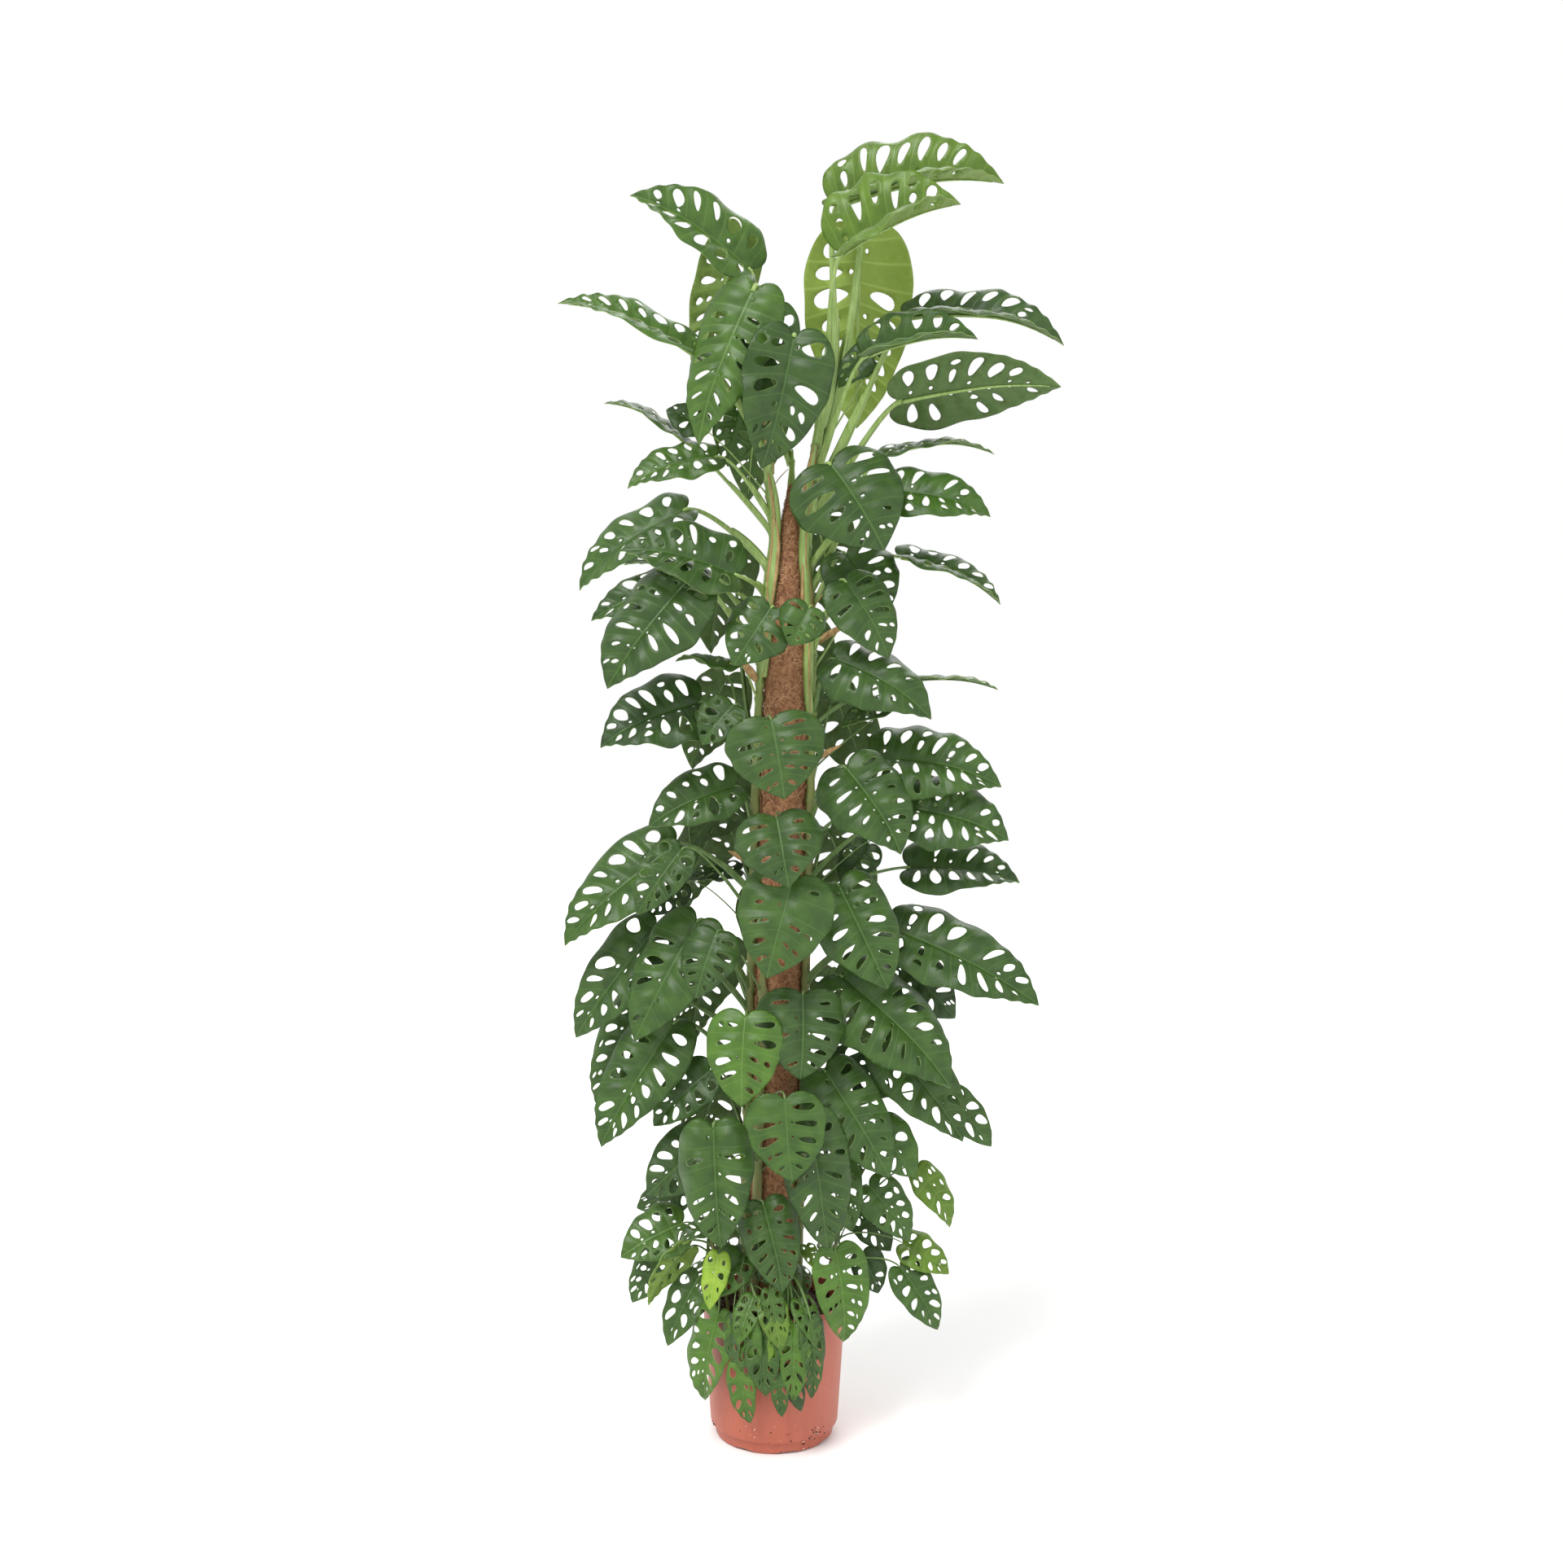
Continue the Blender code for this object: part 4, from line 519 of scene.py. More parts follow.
def isInside(points, loop):
    x, y = points[:, 0][:, None], points[:, 1][:, None]
    (ax, ay), (bx, by) = loop.T, np.roll(loop, -1, axis=0).T
    crossed = ((ay > y) != (by > y)) & (x < (bx - ax) * (y - ay) / (by - ay + 1e-12) + ax)
    return crossed.sum(axis=1) % 2 == 1


def nearest(points, others):
    return np.sqrt(((points[:, None, :] - others[None, :, :]) ** 2).sum(axis=2)).min(axis=1)


holes = dict(open=(0.46, 0.60), smallMm=95, smallOpen=(0.52, 0.66), broadOpen=(0.28, 0.42), margin=1.3,
             near=(0.18, 0.36), far=(0.70, 0.88), none=0.08, split=0.24, short=0.36, besideRib=0.4)


def holeLoops(outline, length, half, veins, openness, rng):  # the holes between neighbouring side veins
    loops = []
    for side in (1, -1):
        for k in range(veins):
            q = (k + 0.5 + rng.uniform(-0.06, 0.06)) / veins
            if q > 0.93:
                continue
            reach = np.linspace(0.05, 1.1, 64)
            ray = np.column_stack([side * reach * half, alongVein(reach, q) * length])
            out = isInside(ray, outline)
            edge = reach[out].max() if out.any() else 0
            if edge < 0.2:
                continue
            near, far = rng.uniform(*holes["near"]), rng.uniform(*holes["far"])
            kinds = [(near, far, openness * rng.uniform(0.75, 1.25))]
            chance = rng.random()
            if chance < holes["none"]:
                kinds = []
            elif chance < holes["split"]:
                split = rng.uniform(0.48, 0.60)
                kinds = [(near - 0.04, split - 0.05, openness * 0.7), (split + 0.06, far + 0.03, openness * 0.8)]
            elif chance < holes["short"]:
                kinds = [(near + 0.12, far - 0.06, openness * 0.7)]
            if rng.random() < holes["besideRib"]:
                kinds.append((0.10, 0.18, openness * 0.40))
            for low, high, fat in kinds:
                count = 18 if high - low > 0.3 else 11
                turn = np.linspace(0, math.tau, count, endpoint=False)
                share = (low + high) / 2 + (high - low) / 2 * np.cos(turn)
                wobble = 1 + 0.12 * np.sin(2 * turn + rng.uniform(0, 6)) + 0.25 * np.cos(turn)
                slope = rng.uniform(-0.22, 0.22) * (high - low)
                vein = q + (fat * np.sin(turn) * wobble + slope * np.cos(turn)) / (2 * veins)
                x = share * edge
                loop = np.column_stack([side * x * half, alongVein(x, vein) * length])
                room = nearest(loop, outline).min()
                if loops:
                    room = min(room, nearest(loop, np.vstack(loops)).min())
                if room > max(holes["margin"], length * 0.008) and isInside(loop, outline).all():
                    loops.append(loop)
    return loops


def bladePattern(length, width, veins, openness, rng):  # the flat blade in millimetres, holes left out
    half = width / 2
    spacing = max(2.2, length * 0.017)
    sides = []
    for side in (1, -1):
        lean = rng.uniform(0.94, 1.05)
        curve = smoothLine(np.array(leafShape["outline"]) * (half, length), spacing)
        share = curve[:, 1] / length
        wave = 1 + 0.022 * np.sin(share * 19 + rng.uniform(0, 6)) * np.sin(np.clip(share, 0, 1) * math.pi)
        curve[:, 0] *= side * lean * wave
        sides.append(curve)
    outline = np.vstack([sides[0], sides[1][-2:0:-1]])
    cutOuts = holeLoops(outline, length, half, veins, openness, rng)
    rib = np.column_stack([np.zeros(60), np.linspace(0, 1, 60) * length])[1:-1]
    rib = rib[::max(1, int(round(spacing * 59 / length * 0.9)))]
    steps = (0, 0.09, 0.27, 0.5, 0.73, 0.91) if length > 90 else (0, 0.14, 0.5, 0.86)
    q = np.array([(k + s) / veins for k in range(-1, veins + 2) for s in steps])
    x = np.arange(spacing * 0.8 / half, 1.05, spacing * 1.15 / half)
    grid = np.array([(side * a, alongVein(a, b)) for side in (1, -1) for a in x for b in q]) * (half, length)
    grid = grid[isInside(grid, outline)]
    fixed = np.vstack([outline, rib, *cutOuts])
    grid = grid[nearest(grid, fixed) > spacing * 0.45]
    for hole in cutOuts:
        grid = grid[~isInside(grid, hole)]
    points = [Vector(p) for p in np.vstack([fixed, grid])]
    tipAt, ribAt = len(sides[0]) - 1, len(outline)
    edges = [(k, (k + 1) % len(outline)) for k in range(len(outline))]
    chain = [0, *range(ribAt, ribAt + len(rib)), tipAt]
    edges += list(zip(chain, chain[1:]))
    start = ribAt + len(rib)
    for hole in cutOuts:
        edges += [(start + k, start + (k + 1) % len(hole)) for k in range(len(hole))]
        start += len(hole)
    flat, _, faces, _, _, _ = geometry.delaunay_2d_cdt(points, edges, [], 0, 1e-4)
    flat = np.array([tuple(p) for p in flat])
    faces = np.array([tuple(f) for f in faces if len(f) == 3])
    middle = flat[faces].mean(axis=1)
    keep = isInside(middle, outline)
    for hole in cutOuts:
        keep &= ~isInside(middle, hole)
    faces = faces[keep]
    a, b, c = (flat[faces[:, k]] for k in range(3))
    area = (b[:, 0] - a[:, 0]) * (c[:, 1] - a[:, 1]) - (b[:, 1] - a[:, 1]) * (c[:, 0] - a[:, 0])
    faces = faces[np.abs(area) > 1e-3]
    used, index = np.unique(faces, return_inverse=True)
    return flat[used], index.reshape(-1, 3)


def bladeSurface(row, rng):  # how the flat blade lies in space, as a function of x (half widths) and t
    _, _, _, base, tip, width, face, fold, _ = row
    base, tip = Vector(base) * cm, Vector(tip) * cm
    along = (tip - base).normalized()
    length = (tip - base).length
    up = compass(*face)
    up = (up - along * up.dot(along)).normalized()
    side = along.cross(up)
    half = width * cm / 2
    lean = math.radians(fold)
    waves = [(rng.uniform(1.6, 3.2), rng.uniform(0, 6.28)) for _ in (0, 1)]
    droop = rng.uniform(*leafShape["droop"])
    twist = math.radians(rng.uniform(-leafShape["twist"], leafShape["twist"]))
    curl = rng.uniform(*leafShape["curl"])
    quilt = min(leafShape["quiltMost"], leafShape["quilt"] * length)
    sickle = rng.uniform(-leafShape["sickle"], leafShape["sickle"]) * length
    sink = min(leafShape["ribSinkMost"], length * leafShape["ribSink"])

    def surface(x, t, phase):
        x, t, phase = (np.asarray(values, float) for values in (x, t, phase))
        out = np.abs(x)
        rise = leafShape["arch"] * 4 * t * (1 - t) * length - droop * length * np.clip((t - 0.5) / 0.5, 0, 1) ** 2
        rise = rise - np.clip(-t, 0, 1) * length * 0.3
        rise = rise + math.sin(lean) * half * out + curl * half * np.sin(out * math.pi) * (0.5 + 0.5 * (fold < 0))
        rise = rise - curl * half * out ** 3 * 0.8
        which = (x > 0).astype(int)
        number = np.where(which, waves[1][0], waves[0][0])
        start = np.where(which, waves[1][1], waves[0][1])
        rise = rise + leafShape["wave"] * half * 2 * out ** 2.2 * np.sin(t * number * math.tau + start) * 0.6
        between = np.sin(np.pi * phase) ** 2
        rise = rise + quilt * (between - 0.4) * np.clip(out * 5, 0, 1) * np.clip((1.0 - out) * 2.2, 0, 1)
        rise = rise - np.exp(-(out * half / leafShape["ribWide"]) ** 2) * sink
        level = x * half * math.cos(lean) + sickle * (np.clip(t, 0, 1) ** 2 - 0.4 * np.clip(t, 0, 1))
        turn = twist * (t - 0.2)
        level, rise = level * np.cos(turn) - rise * np.sin(turn), level * np.sin(turn) + rise * np.cos(turn)
        return (np.array(base) + np.outer(t * length, along) + np.outer(level, side) + np.outer(rise, up))

    return surface, base, along, up, length


petiole = dict(
    slim=0.0115, growth=0.0065, fullLength=0.12, crownFrom=100, crownMore=1.25,  # thickness per blade length
    footMore=0.55, kneeMore=0.30, kneeAt=0.955, ribPlaces=16, sheathFrom=0.10, sheathShare=0.5, wing=0.0004,
)


def petiolePath(row, surface, base, along):
    _, stemName, height, *_ = row
    line = stemLines[stemName]
    radius = stem["vine"] if stemName in climbing else stem["shoot"]
    axis = onLine(line, height * cm)
    out = Vector((base.x - axis.x, base.y - axis.y, 0.0)).normalized()
    inward = poleAxis(axis.z) - axis
    inward.z = 0.0
    inward.normalize()
    if stemName in climbing and out.dot(inward) > -0.1:
        out = (out - inward * (out.dot(inward) + 0.1)).normalized()
    foot = axis + out * radius * 0.35
    end = Vector(surface([0], [0], [0])[0])
    span = (end - foot).length
    handles = [foot, foot + (out * 0.45 + upward * 0.55) * span * 0.4, end - along * min(0.25 * span, 0.03), end]
    share = np.linspace(0, 1, max(10, int(span / 0.008)))[:, None]
    rest = 1 - share
    p = np.array(handles)
    return p[0] * rest ** 3 + 3 * p[1] * rest ** 2 * share + 3 * p[2] * rest * share ** 2 + p[3] * share ** 3


def stalkParts(row, surface, base, along, up, length):  # petiole, sheath and knee, and the rib under the blade
    path = petiolePath(row, surface, base, along)
    share = np.linspace(0, 1, len(path))
    inCrown = row[2] >= petiole["crownFrom"]
    thick = length * (petiole["slim"] + petiole["growth"] * min(1.0, length / petiole["fullLength"]))
    thick *= petiole["crownMore"] if inCrown else 1.0
    size = thick * (1.18 - 0.55 * share + petiole["footMore"] * np.exp(-(share / 0.05) ** 2))
    size = size + thick * petiole["kneeMore"] * np.exp(-((share - petiole["kneeAt"]) / 0.03) ** 2)
    parts = [tubeParts(path, size, 8)]
    count = petiole["ribPlaces"]
    rib = surface(np.zeros(count), np.linspace(-0.004, 0.93, count), np.zeros(count))
    ribSize = thick * np.linspace(0.62, 0.12, count)
    rib = rib - np.outer(ribSize * 0.75 + 0.0006, up)
    parts.append(tubeParts(rib, ribSize, 6))
    if length > petiole["sheathFrom"]:  # the sheath: two thin wings on the petiole's lower part
        last = int(len(path) * petiole["sheathShare"])
        heading = np.gradient(path, axis=0)
        heading /= np.linalg.norm(heading, axis=1)[:, None]
        across = np.cross(heading, upward)
        across /= np.linalg.norm(across, axis=1)[:, None] + 1e-9
        above = np.cross(across, heading)
        for side in (1, -1):
            wing = path + across * side * size[:, None] * 0.75 + above * size[:, None] * 0.75
            tall = np.sin(np.clip(share[:last] / petiole["sheathShare"], 0, 1) * math.pi) ** 0.6
            tall = thick * (1.2 if inCrown else 0.75) * tall + 0.0003
            parts.append(tubeParts(wing[:last], tall, 6, flat=np.full(last, petiole["wing"]), wide=tuple(across[0])))
    return parts


def makeLeaf(number, row):
    rng = random.Random(1000 + number)
    height, width, fold, tone = row[2], row[5], row[7], row[8]
    surface, base, along, up, length = bladeSurface(row, rng)
    lengthMm, widthMm = length / mm, width * 10
    veins = min(8, max(4, round(2.8 + lengthMm * 0.020 + rng.uniform(-0.5, 0.5))))
    openness = rng.uniform(*holes["open"])
    if lengthMm < holes["smallMm"]:
        openness = rng.uniform(*holes["smallOpen"])
    if fold < 0:  # broad leaves that bulge forward have slimmer holes
        openness = rng.uniform(*holes["broadOpen"])
    flat, faces = bladePattern(lengthMm, widthMm, veins, openness, rng)
    x, t = flat[:, 0] / (widthMm / 2), flat[:, 1] / lengthMm
    phase = veinAt(x, t) * veins
    blade = meshObject("blade", surface(x, t, phase), faces,
                       (topFinish[tone], underFinish[tone], edgeFinish))
    pattern = blade.data.uv_layers.new(name="leaf")
    corner = np.zeros(len(blade.data.loops), np.int32)
    blade.data.loops.foreach_get("vertex_index", corner)
    pattern.data.foreach_set("uv", np.column_stack([x, phase])[corner].astype(np.float32).ravel())
    shade = blade.data.attributes.new("leafShade", "FLOAT", "POINT")
    shade.data.foreach_set("value", np.full(len(flat), 0.6 * rng.random() ** 2, np.float32))
    shell = blade.modifiers.new("thickness", "SOLIDIFY")
    shell.thickness = leafShape["thickness"]
    shell.offset = -1
    shell.material_offset = 1
    shell.material_offset_rim = 2
    points, skin, _ = gather(stalkParts(row, surface, base, along, up, length))
    stalk = meshObject("stalk", points, skin, (youngStalk if height >= petiole["crownFrom"] else leafStalk,))
    return joinPieces([applyAll(blade), stalk], "leaf%03d" % number)


tangle = dict(count=26, seed=19, spread=125, low=20.5, high=41.0)


def tangleRows():  # more of the small leaves that crowd over the soil, each on the stem nearest to it
    rng = random.Random(tangle["seed"])
    rows = []
    for k in range(tangle["count"]):
        angle = tangle["spread"] * (2 * (k + rng.random()) / tangle["count"] - 1)
        height, far = rng.uniform(tangle["low"], tangle["high"]), rng.uniform(5.2, 9.0)
        length = rng.uniform(3.6, 6.6)
        base = poleAxis(height * cm) / cm + compass(angle) * far
        tip = base + compass(angle + rng.uniform(-50, 50), rng.uniform(-70, -15)) * length
        tip.z = max(tip.z, 19.4)
        choice = min((name for name in stemLines if stemLines[name][-1].z / cm > 22), key=lambda name: (
            onLine(stemLines[name], height * cm) / cm - base).length)
        foot = max(18.0, min(height, stemLines[choice][-1].z / cm) - rng.uniform(1.0, 4.0))
        rows.append((None, choice, foot, tuple(base), tuple(tip), length * rng.uniform(0.55, 0.68),
                     (angle + rng.uniform(-25, 25), rng.uniform(10, 50)), rng.uniform(-8, 14),
                     rng.choice(("mid", "fresh", "dark", "mid", "fresh", "young"))))
    rows += [(None, choice, foot, base, tip, width, face, 8, tone)
             for choice, foot, base, tip, width, face, tone in overRim]
    return rows


overRim = (  # leaves that hang over the front of the rim: stem, foot, base, tip, width, upper side, tone
    ("shoot_front_left", 22.5, (-3.6, -10.9, 19.0), (-2.5, -11.9, 12.0), 3.9, (-22, 12), "fresh"),
    ("shoot_front_left", 23.5, (-1.6, -11.2, 18.6), (-1.1, -12.4, 9.4), 5.0, (-6, 22), "mid"),
    ("shoot_front_right", 22.0, (0.9, -10.9, 19.2), (-0.1, -12.2, 12.2), 3.6, (22, 14), "young"),
    ("shoot_front_right", 23.0, (2.7, -11.2, 18.4), (2.3, -12.5, 8.8), 4.4, (10, 20), "fresh"),
    ("shoot_front_right", 24.0, (4.9, -10.5, 18.9), (4.9, -11.9, 10.8), 4.0, (34, 12), "mid"),
    ("shoot_front_left", 24.0, (-5.4, -10.2, 19.2), (-5.1, -11.3, 12.8), 3.2, (-40, 18), "mid"),
    ("shoot_front_right", 22.5, (3.4, -9.9, 21.4), (5.6, -12.2, 16.0), 3.9, (24, 38), "fresh"),
    ("shoot_front_left", 22.0, (-0.6, -10.2, 21.6), (0.9, -12.7, 15.6), 4.2, (2, 38), "young"),
    ("shoot_front_left", 23.0, (-2.8, -9.8, 21.6), (-4.8, -12.2, 16.2), 3.8, (-14, 36), "fresh"),
)


slotOf = {tone: "leaf_" + tone for tone in leafTones}
small = {name: [] for name in stemLines}
for number, row in enumerate([*leaves, *tangleRows()]):
    made = makeLeaf(number, row)
    if row[0]:
        made.name = made.data.name = row[0].title().replace("_", "").replace("Leaf", "leaf", 1)
        finishPiece(made, slotOf[row[8]], row[0])
    else:
        small[row[1]].append(made)
for name, group in small.items():
    if group:
        words = name.title().replace("_", "")
        finishPiece(joinPieces(group, words[0].lower() + words[1:] + "Leaves"), "stem", name)
print("leaves grown")


def makeStem(name):
    line = stemLines[name]
    radius = stem["vine"] if name in climbing else stem["shoot"]
    feet = [row[2] * cm for row in leaves if row[1] == name]
    path = smoothLine(line, 0.004)
    size = []
    for k, point in enumerate(path):
        wide = radius * (1 + 0.06 * math.sin(point[2] * 60) + 0.05 * math.sin(point[2] * 23 + 1))
        for foot in feet:
            wide += radius * stem["ring"] * math.exp(-((point[2] - foot) / stem["ringLong"]) ** 2)
        left = len(path) - 1 - k
        wide *= min(1.0, 0.25 + left * 0.06)
        size.append(wide)
    points, skin = tubeParts(path, size, 12)
    made = meshObject(name, points, skin, (barkFinish,))
    words = name.title().replace("_", "")
    made.name = made.data.name = words[0].lower() + words[1:]
    return finishPiece(made, "stem", name)


for name in stemLines:
    makeStem(name)


aerial = dict(perVine=11, size=0.0011, seed=41)


def makeRoots():  # brown roots that leave the stems' rings and grip the coir
    rng = random.Random(aerial["seed"])
    parts = []
    for name in climbing:
        line = stemLines[name]
        for k in range(aerial["perVine"]):
            top = rng.uniform(0.24, min(line[-1].z, 1.2) - 0.02)
            start = onLine(line, top)
            axis = poleAxis(top)
            angle = math.atan2(start.x - axis.x, -(start.y - axis.y))
            sweep, fall = rng.choice((-1, 1)) * rng.uniform(0.35, 1.3), rng.uniform(0.015, 0.06)
            count = 14
            path = []
            for j in range(count):
                share = j / (count - 1)
                z = top - fall * share ** 1.3
                turn = angle + sweep * share + 0.05 * math.sin(share * 9 + k)
                far = poleRadius(z) + 0.0018 + (stem["vine"] * 0.9) * max(0.0, 1 - share * 4)
                far -= 0.0025 * max(0, share - 0.85) / 0.15  # its tip goes into the coir
                path.append(poleAxis(z) + Vector((math.sin(turn), -math.cos(turn), 0)) * far)
            size = [aerial["size"] * rng.uniform(0.9, 1.3) * (1.15 - 0.6 * j / count) for j in range(count)]
            parts.append(tubeParts(path, size, 6))
    points, skin, _ = gather(parts)
    return finishPiece(meshObject("aerialRoots", points, skin, (rootFinish,)), "stem")


makeRoots()


driedSheaths = (  # foot on the stem, height, lean, length and width of each papery remnant (cm)
    ("vine_right", 108, (60, 40), 5.5, 1.3), ("vine_right", 112, (20, 55), 6, 1.2),
    ("vine_left", 129, (30, 60), 4, 1.0), ("vine_left", 103, (-50, 45), 4.5, 1.1),
    ("vine_right", 92, (70, 40), 4, 1.0), ("vine_left", 78, (-70, 35), 3.8, 0.9),
    ("vine_right", 66, (50, 45), 3.6, 0.9), ("vine_rear", 104, (170, 45), 4.5, 1.1),
    ("vine_rear", 70, (190, 40), 4, 1.0),
)


def makeSheaths():
    parts = []
    for name, height, lean, long, wide in driedSheaths:
        start = onLine(stemLines[name], height * cm)
        way = compass(*lean)
        bend = compass(lean[0] + 60, -10)
        share = np.linspace(0, 1, 12)
        path = [start + way * (0.004 + long * cm * s) + bend * (s ** 2 * long * cm * 0.35) for s in share]
        size = wide * cm / 2 * np.sin(np.clip(share * 0.9 + 0.12, 0, 1) * math.pi) ** 0.7 + 0.0004
        parts.append(tubeParts(path, size, 8, flat=np.full(12, 0.0004), wide=tuple(bend)))
    points, skin, _ = gather(parts)
    return finishPiece(meshObject("driedSheaths", points, skin, (sheathFinish,)), "stem")


makeSheaths()


freshSheaths = (  # stem, from and to height (cm), compass angle of the side it sits on, half width (cm)
    ("vine_right", 99, 113, 70, 0.85), ("vine_right", 107, 121, 20, 0.9), ("vine_right", 115, 129, 80, 0.85),
    ("vine_right", 123, 136, 30, 0.75), ("vine_left", 104, 117, -60, 0.75), ("vine_left", 113, 126, -20, 0.75),
    ("vine_left", 122, 134, -80, 0.7), ("vine_left", 132, 144, -30, 0.65), ("vine_rear", 112, 124, 180, 0.7),
)


def makeFreshSheaths():  # bases of the big petioles, wrapped round the stem one above the other
    parts = []
    for name, low, high, angle, half in freshSheaths:
        share = np.linspace(0, 1, 16)
        lean = compass(angle)
        path = []
        for s in share:
            core = onLine(stemLines[name], (low + (high - low) * s) * cm)
            inward = poleAxis(core.z) - core
            inward.z = 0
            over = inward.normalized() * 0.0065 + compass(0) * (0.012 if name != "vine_rear" else 0)
            over = over * math.sin(math.pi * min(1, 0.25 + s * 0.5))
            path.append(core + over + lean * (0.001 + 0.005 * s ** 3))
        size = half * cm * (0.80 + 0.28 * np.sin(share * math.pi) - 0.35 * share ** 2)
        parts.append(tubeParts(path, size, 14, flat=size * 0.8))
        for side in (1, -1):  # its thin dry margins
            edge = [p + compass(angle + side * 55) * (w * 0.95) for p, w in zip(path, size)]
            parts.append(tubeParts(edge, np.full(16, 0.0022) * np.sin(share * 0.94 * math.pi + 0.1) + 0.0004, 6,
                                   flat=np.full(16, 0.0004), wide=tuple(compass(angle + side * 30))))
    points, skin, owner = gather(parts)
    made = meshObject("freshSheaths", points, skin, (youngStalk, sheathFinish), [min(1, k % 3) for k in owner])
    return finishPiece(made, "stem")


makeFreshSheaths()
print("stems, roots and sheaths made")


coir = dict(sides=72, ringStep=0.006, lump=0.0022, fibres=3600, fibreMm=0.36, seed=7)
# coir: coconut husk fibre, matted and bound with latex, so it is dull, orange brown and never even
coirFinish = plainSkin("mattedCoir", "#7C5236", "#B4855E", 5, 0.9, depth=0.002, strength=0.8)


def fibreMaterial():  # single husk fibres: each its own brown, from straw to dark russet
    finish, tree, shader = newMaterial("coirFibre", {"Roughness": 0.75})
    tint = addNode(tree, "Attribute", {"attribute_name": "fibreTint"})
    browns = (0.0, "#5E3622"), (0.35, "#A06C48"), (0.7, "#BE8C63"), (1.0, "#DDB48C")
    colour = addNode(tree, "ValToRGB", {"stops": browns}, {0: tint.outputs["Fac"]})
    place = addNode(tree, "TexCoord").outputs["Object"]
    grain = addNode(tree, "TexNoise", {"Scale": 900.0}, {"Vector": place})
    bump = addNode(tree, "Bump", {"Strength": 0.2, "Distance": 0.0002}, {"Height": grain.outputs[0]})
    tree.links.new(colour.outputs[0], shader.inputs["Base Color"])
    tree.links.new(bump.outputs[0], shader.inputs["Normal"])
    return finish


def makeSleeve():
    count = round((pole["top"] - pole["bottom"]) / coir["ringStep"])
    heights = np.linspace(pole["bottom"], pole["top"], count)
    profile = [(poleRadius(h), h) for h in heights] + [(0.002, pole["top"] + 0.001)]
    sleeve = spunPiece("coirSleeve", profile, coir["sides"])
    foot = poleAxis(0.0)
    for point in sleeve.data.vertices:
        out = Vector((point.co.x, point.co.y, 0))
        if out.length > 0.003:
            lump = noise.fractal(point.co * 140, 1.0, 2.0, 4) * coir["lump"]
            point.co += out.normalized() * (lump - 0.0006)
        lean = (point.co.z - ground["level"]) * math.tan(pole["lean"]) + pole["footX"]
        point.co.x += lean
        point.co.y += foot.y
    sleeve.data.materials.append(coirFinish)
    sleeve.data.polygons.foreach_set("use_smooth", np.ones(len(sleeve.data.polygons), bool))
    return finishPiece(sleeve, "coir", "coir_sleeve")


def makeFibres():  # curly loose ends of husk fibre lying in and lifting off the mat
    rng = np.random.default_rng(coir["seed"])
    count, links = coir["fibres"], 8
    z = rng.uniform(ground["level"] - 0.004, pole["top"] - 0.004, count)
    angle = rng.uniform(0, math.tau, count)
    heading = rng.uniform(0, math.tau, count)
    step = rng.uniform(0.0022, 0.0046, count)
    lift = rng.uniform(0.0004, 0.0026, count)
    curl = rng.normal(0, 0.35, count)
    radii = np.vectorize(poleRadius)
    rows = []
    for k in range(links):
        share = k / (links - 1)
        z = np.clip(z, ground["level"] - 0.004, pole["top"] + 0.002)
        size = radii(z)
        far = size + lift * math.sin(math.pi * share) - 0.0004
        x = pole["footX"] + (z - ground["level"]) * math.tan(pole["lean"]) + far * np.sin(angle)
        rows.append(np.column_stack([x, pole["y"] - far * np.cos(angle), z]))
        heading = heading + curl + rng.normal(0, 0.30, count)
        z = z + step * np.sin(heading)
        angle = angle + step * np.cos(heading) / np.maximum(size, 0.006)
    path = np.stack(rows, axis=1)
    way = np.gradient(path, axis=1)
    way /= np.linalg.norm(way, axis=2)[..., None] + 1e-12
    axis = np.zeros_like(path)
    axis[..., 0] = pole["footX"] + (path[..., 2] - ground["level"]) * math.tan(pole["lean"])
    axis[..., 1] = pole["y"]
    axis[..., 2] = path[..., 2]
    out = path - axis
    out /= np.linalg.norm(out, axis=2)[..., None] + 1e-12
    across = np.cross(way, out)
    across /= np.linalg.norm(across, axis=2)[..., None] + 1e-12
    above = np.cross(across, way)
    thick = coir["fibreMm"] * mm * rng.uniform(0.7, 1.25, count)[:, None, None]
    corners = [path + thick * (across * math.cos(a) + above * math.sin(a)) for a in (0.5, 2.6, 4.7)]
    points = np.stack(corners, axis=2).reshape(-1, 3)
    start = np.arange(count)[:, None, None] * links * 3 + np.arange(links - 1)[None, :, None] * 3
    j = np.arange(3)[None, None, :]
    quads = np.stack([start + j, start + 3 + j, start + 3 + (j + 1) % 3, start + (j + 1) % 3], axis=-1)
    first = np.arange(count) * links * 3
    caps = np.vstack([np.column_stack([first, first + 1, first + 2]),
                      np.column_stack([first + links * 3 - 1, first + links * 3 - 2, first + links * 3 - 3])])
    made = meshObject("coirFibres", points, quads.reshape(-1, 4).tolist() + caps.tolist(), (fibreMaterial(),))
    tint = made.data.attributes.new("fibreTint", "FLOAT", "POINT")
    aged = np.clip((path[:, 0, 2] - pole["top"] + 0.05) / 0.05, 0, 1)  # weathered dark at the tip
    tone = rng.uniform(0, 1, count) * (1 - 0.75 * aged)
    tint.data.foreach_set("value", np.repeat(tone, links * 3).astype(np.float32))
    deselectAll()
    made.select_set(True)
    bpy.context.view_layer.objects.active = made
    bpy.ops.object.mode_set(mode="EDIT")
    bpy.ops.mesh.select_all(action="SELECT")
    bpy.ops.mesh.normals_make_consistent(inside=False)
    bpy.ops.object.mode_set(mode="OBJECT")
    return finishPiece(made, "coir")


makeSleeve()
makeFibres()
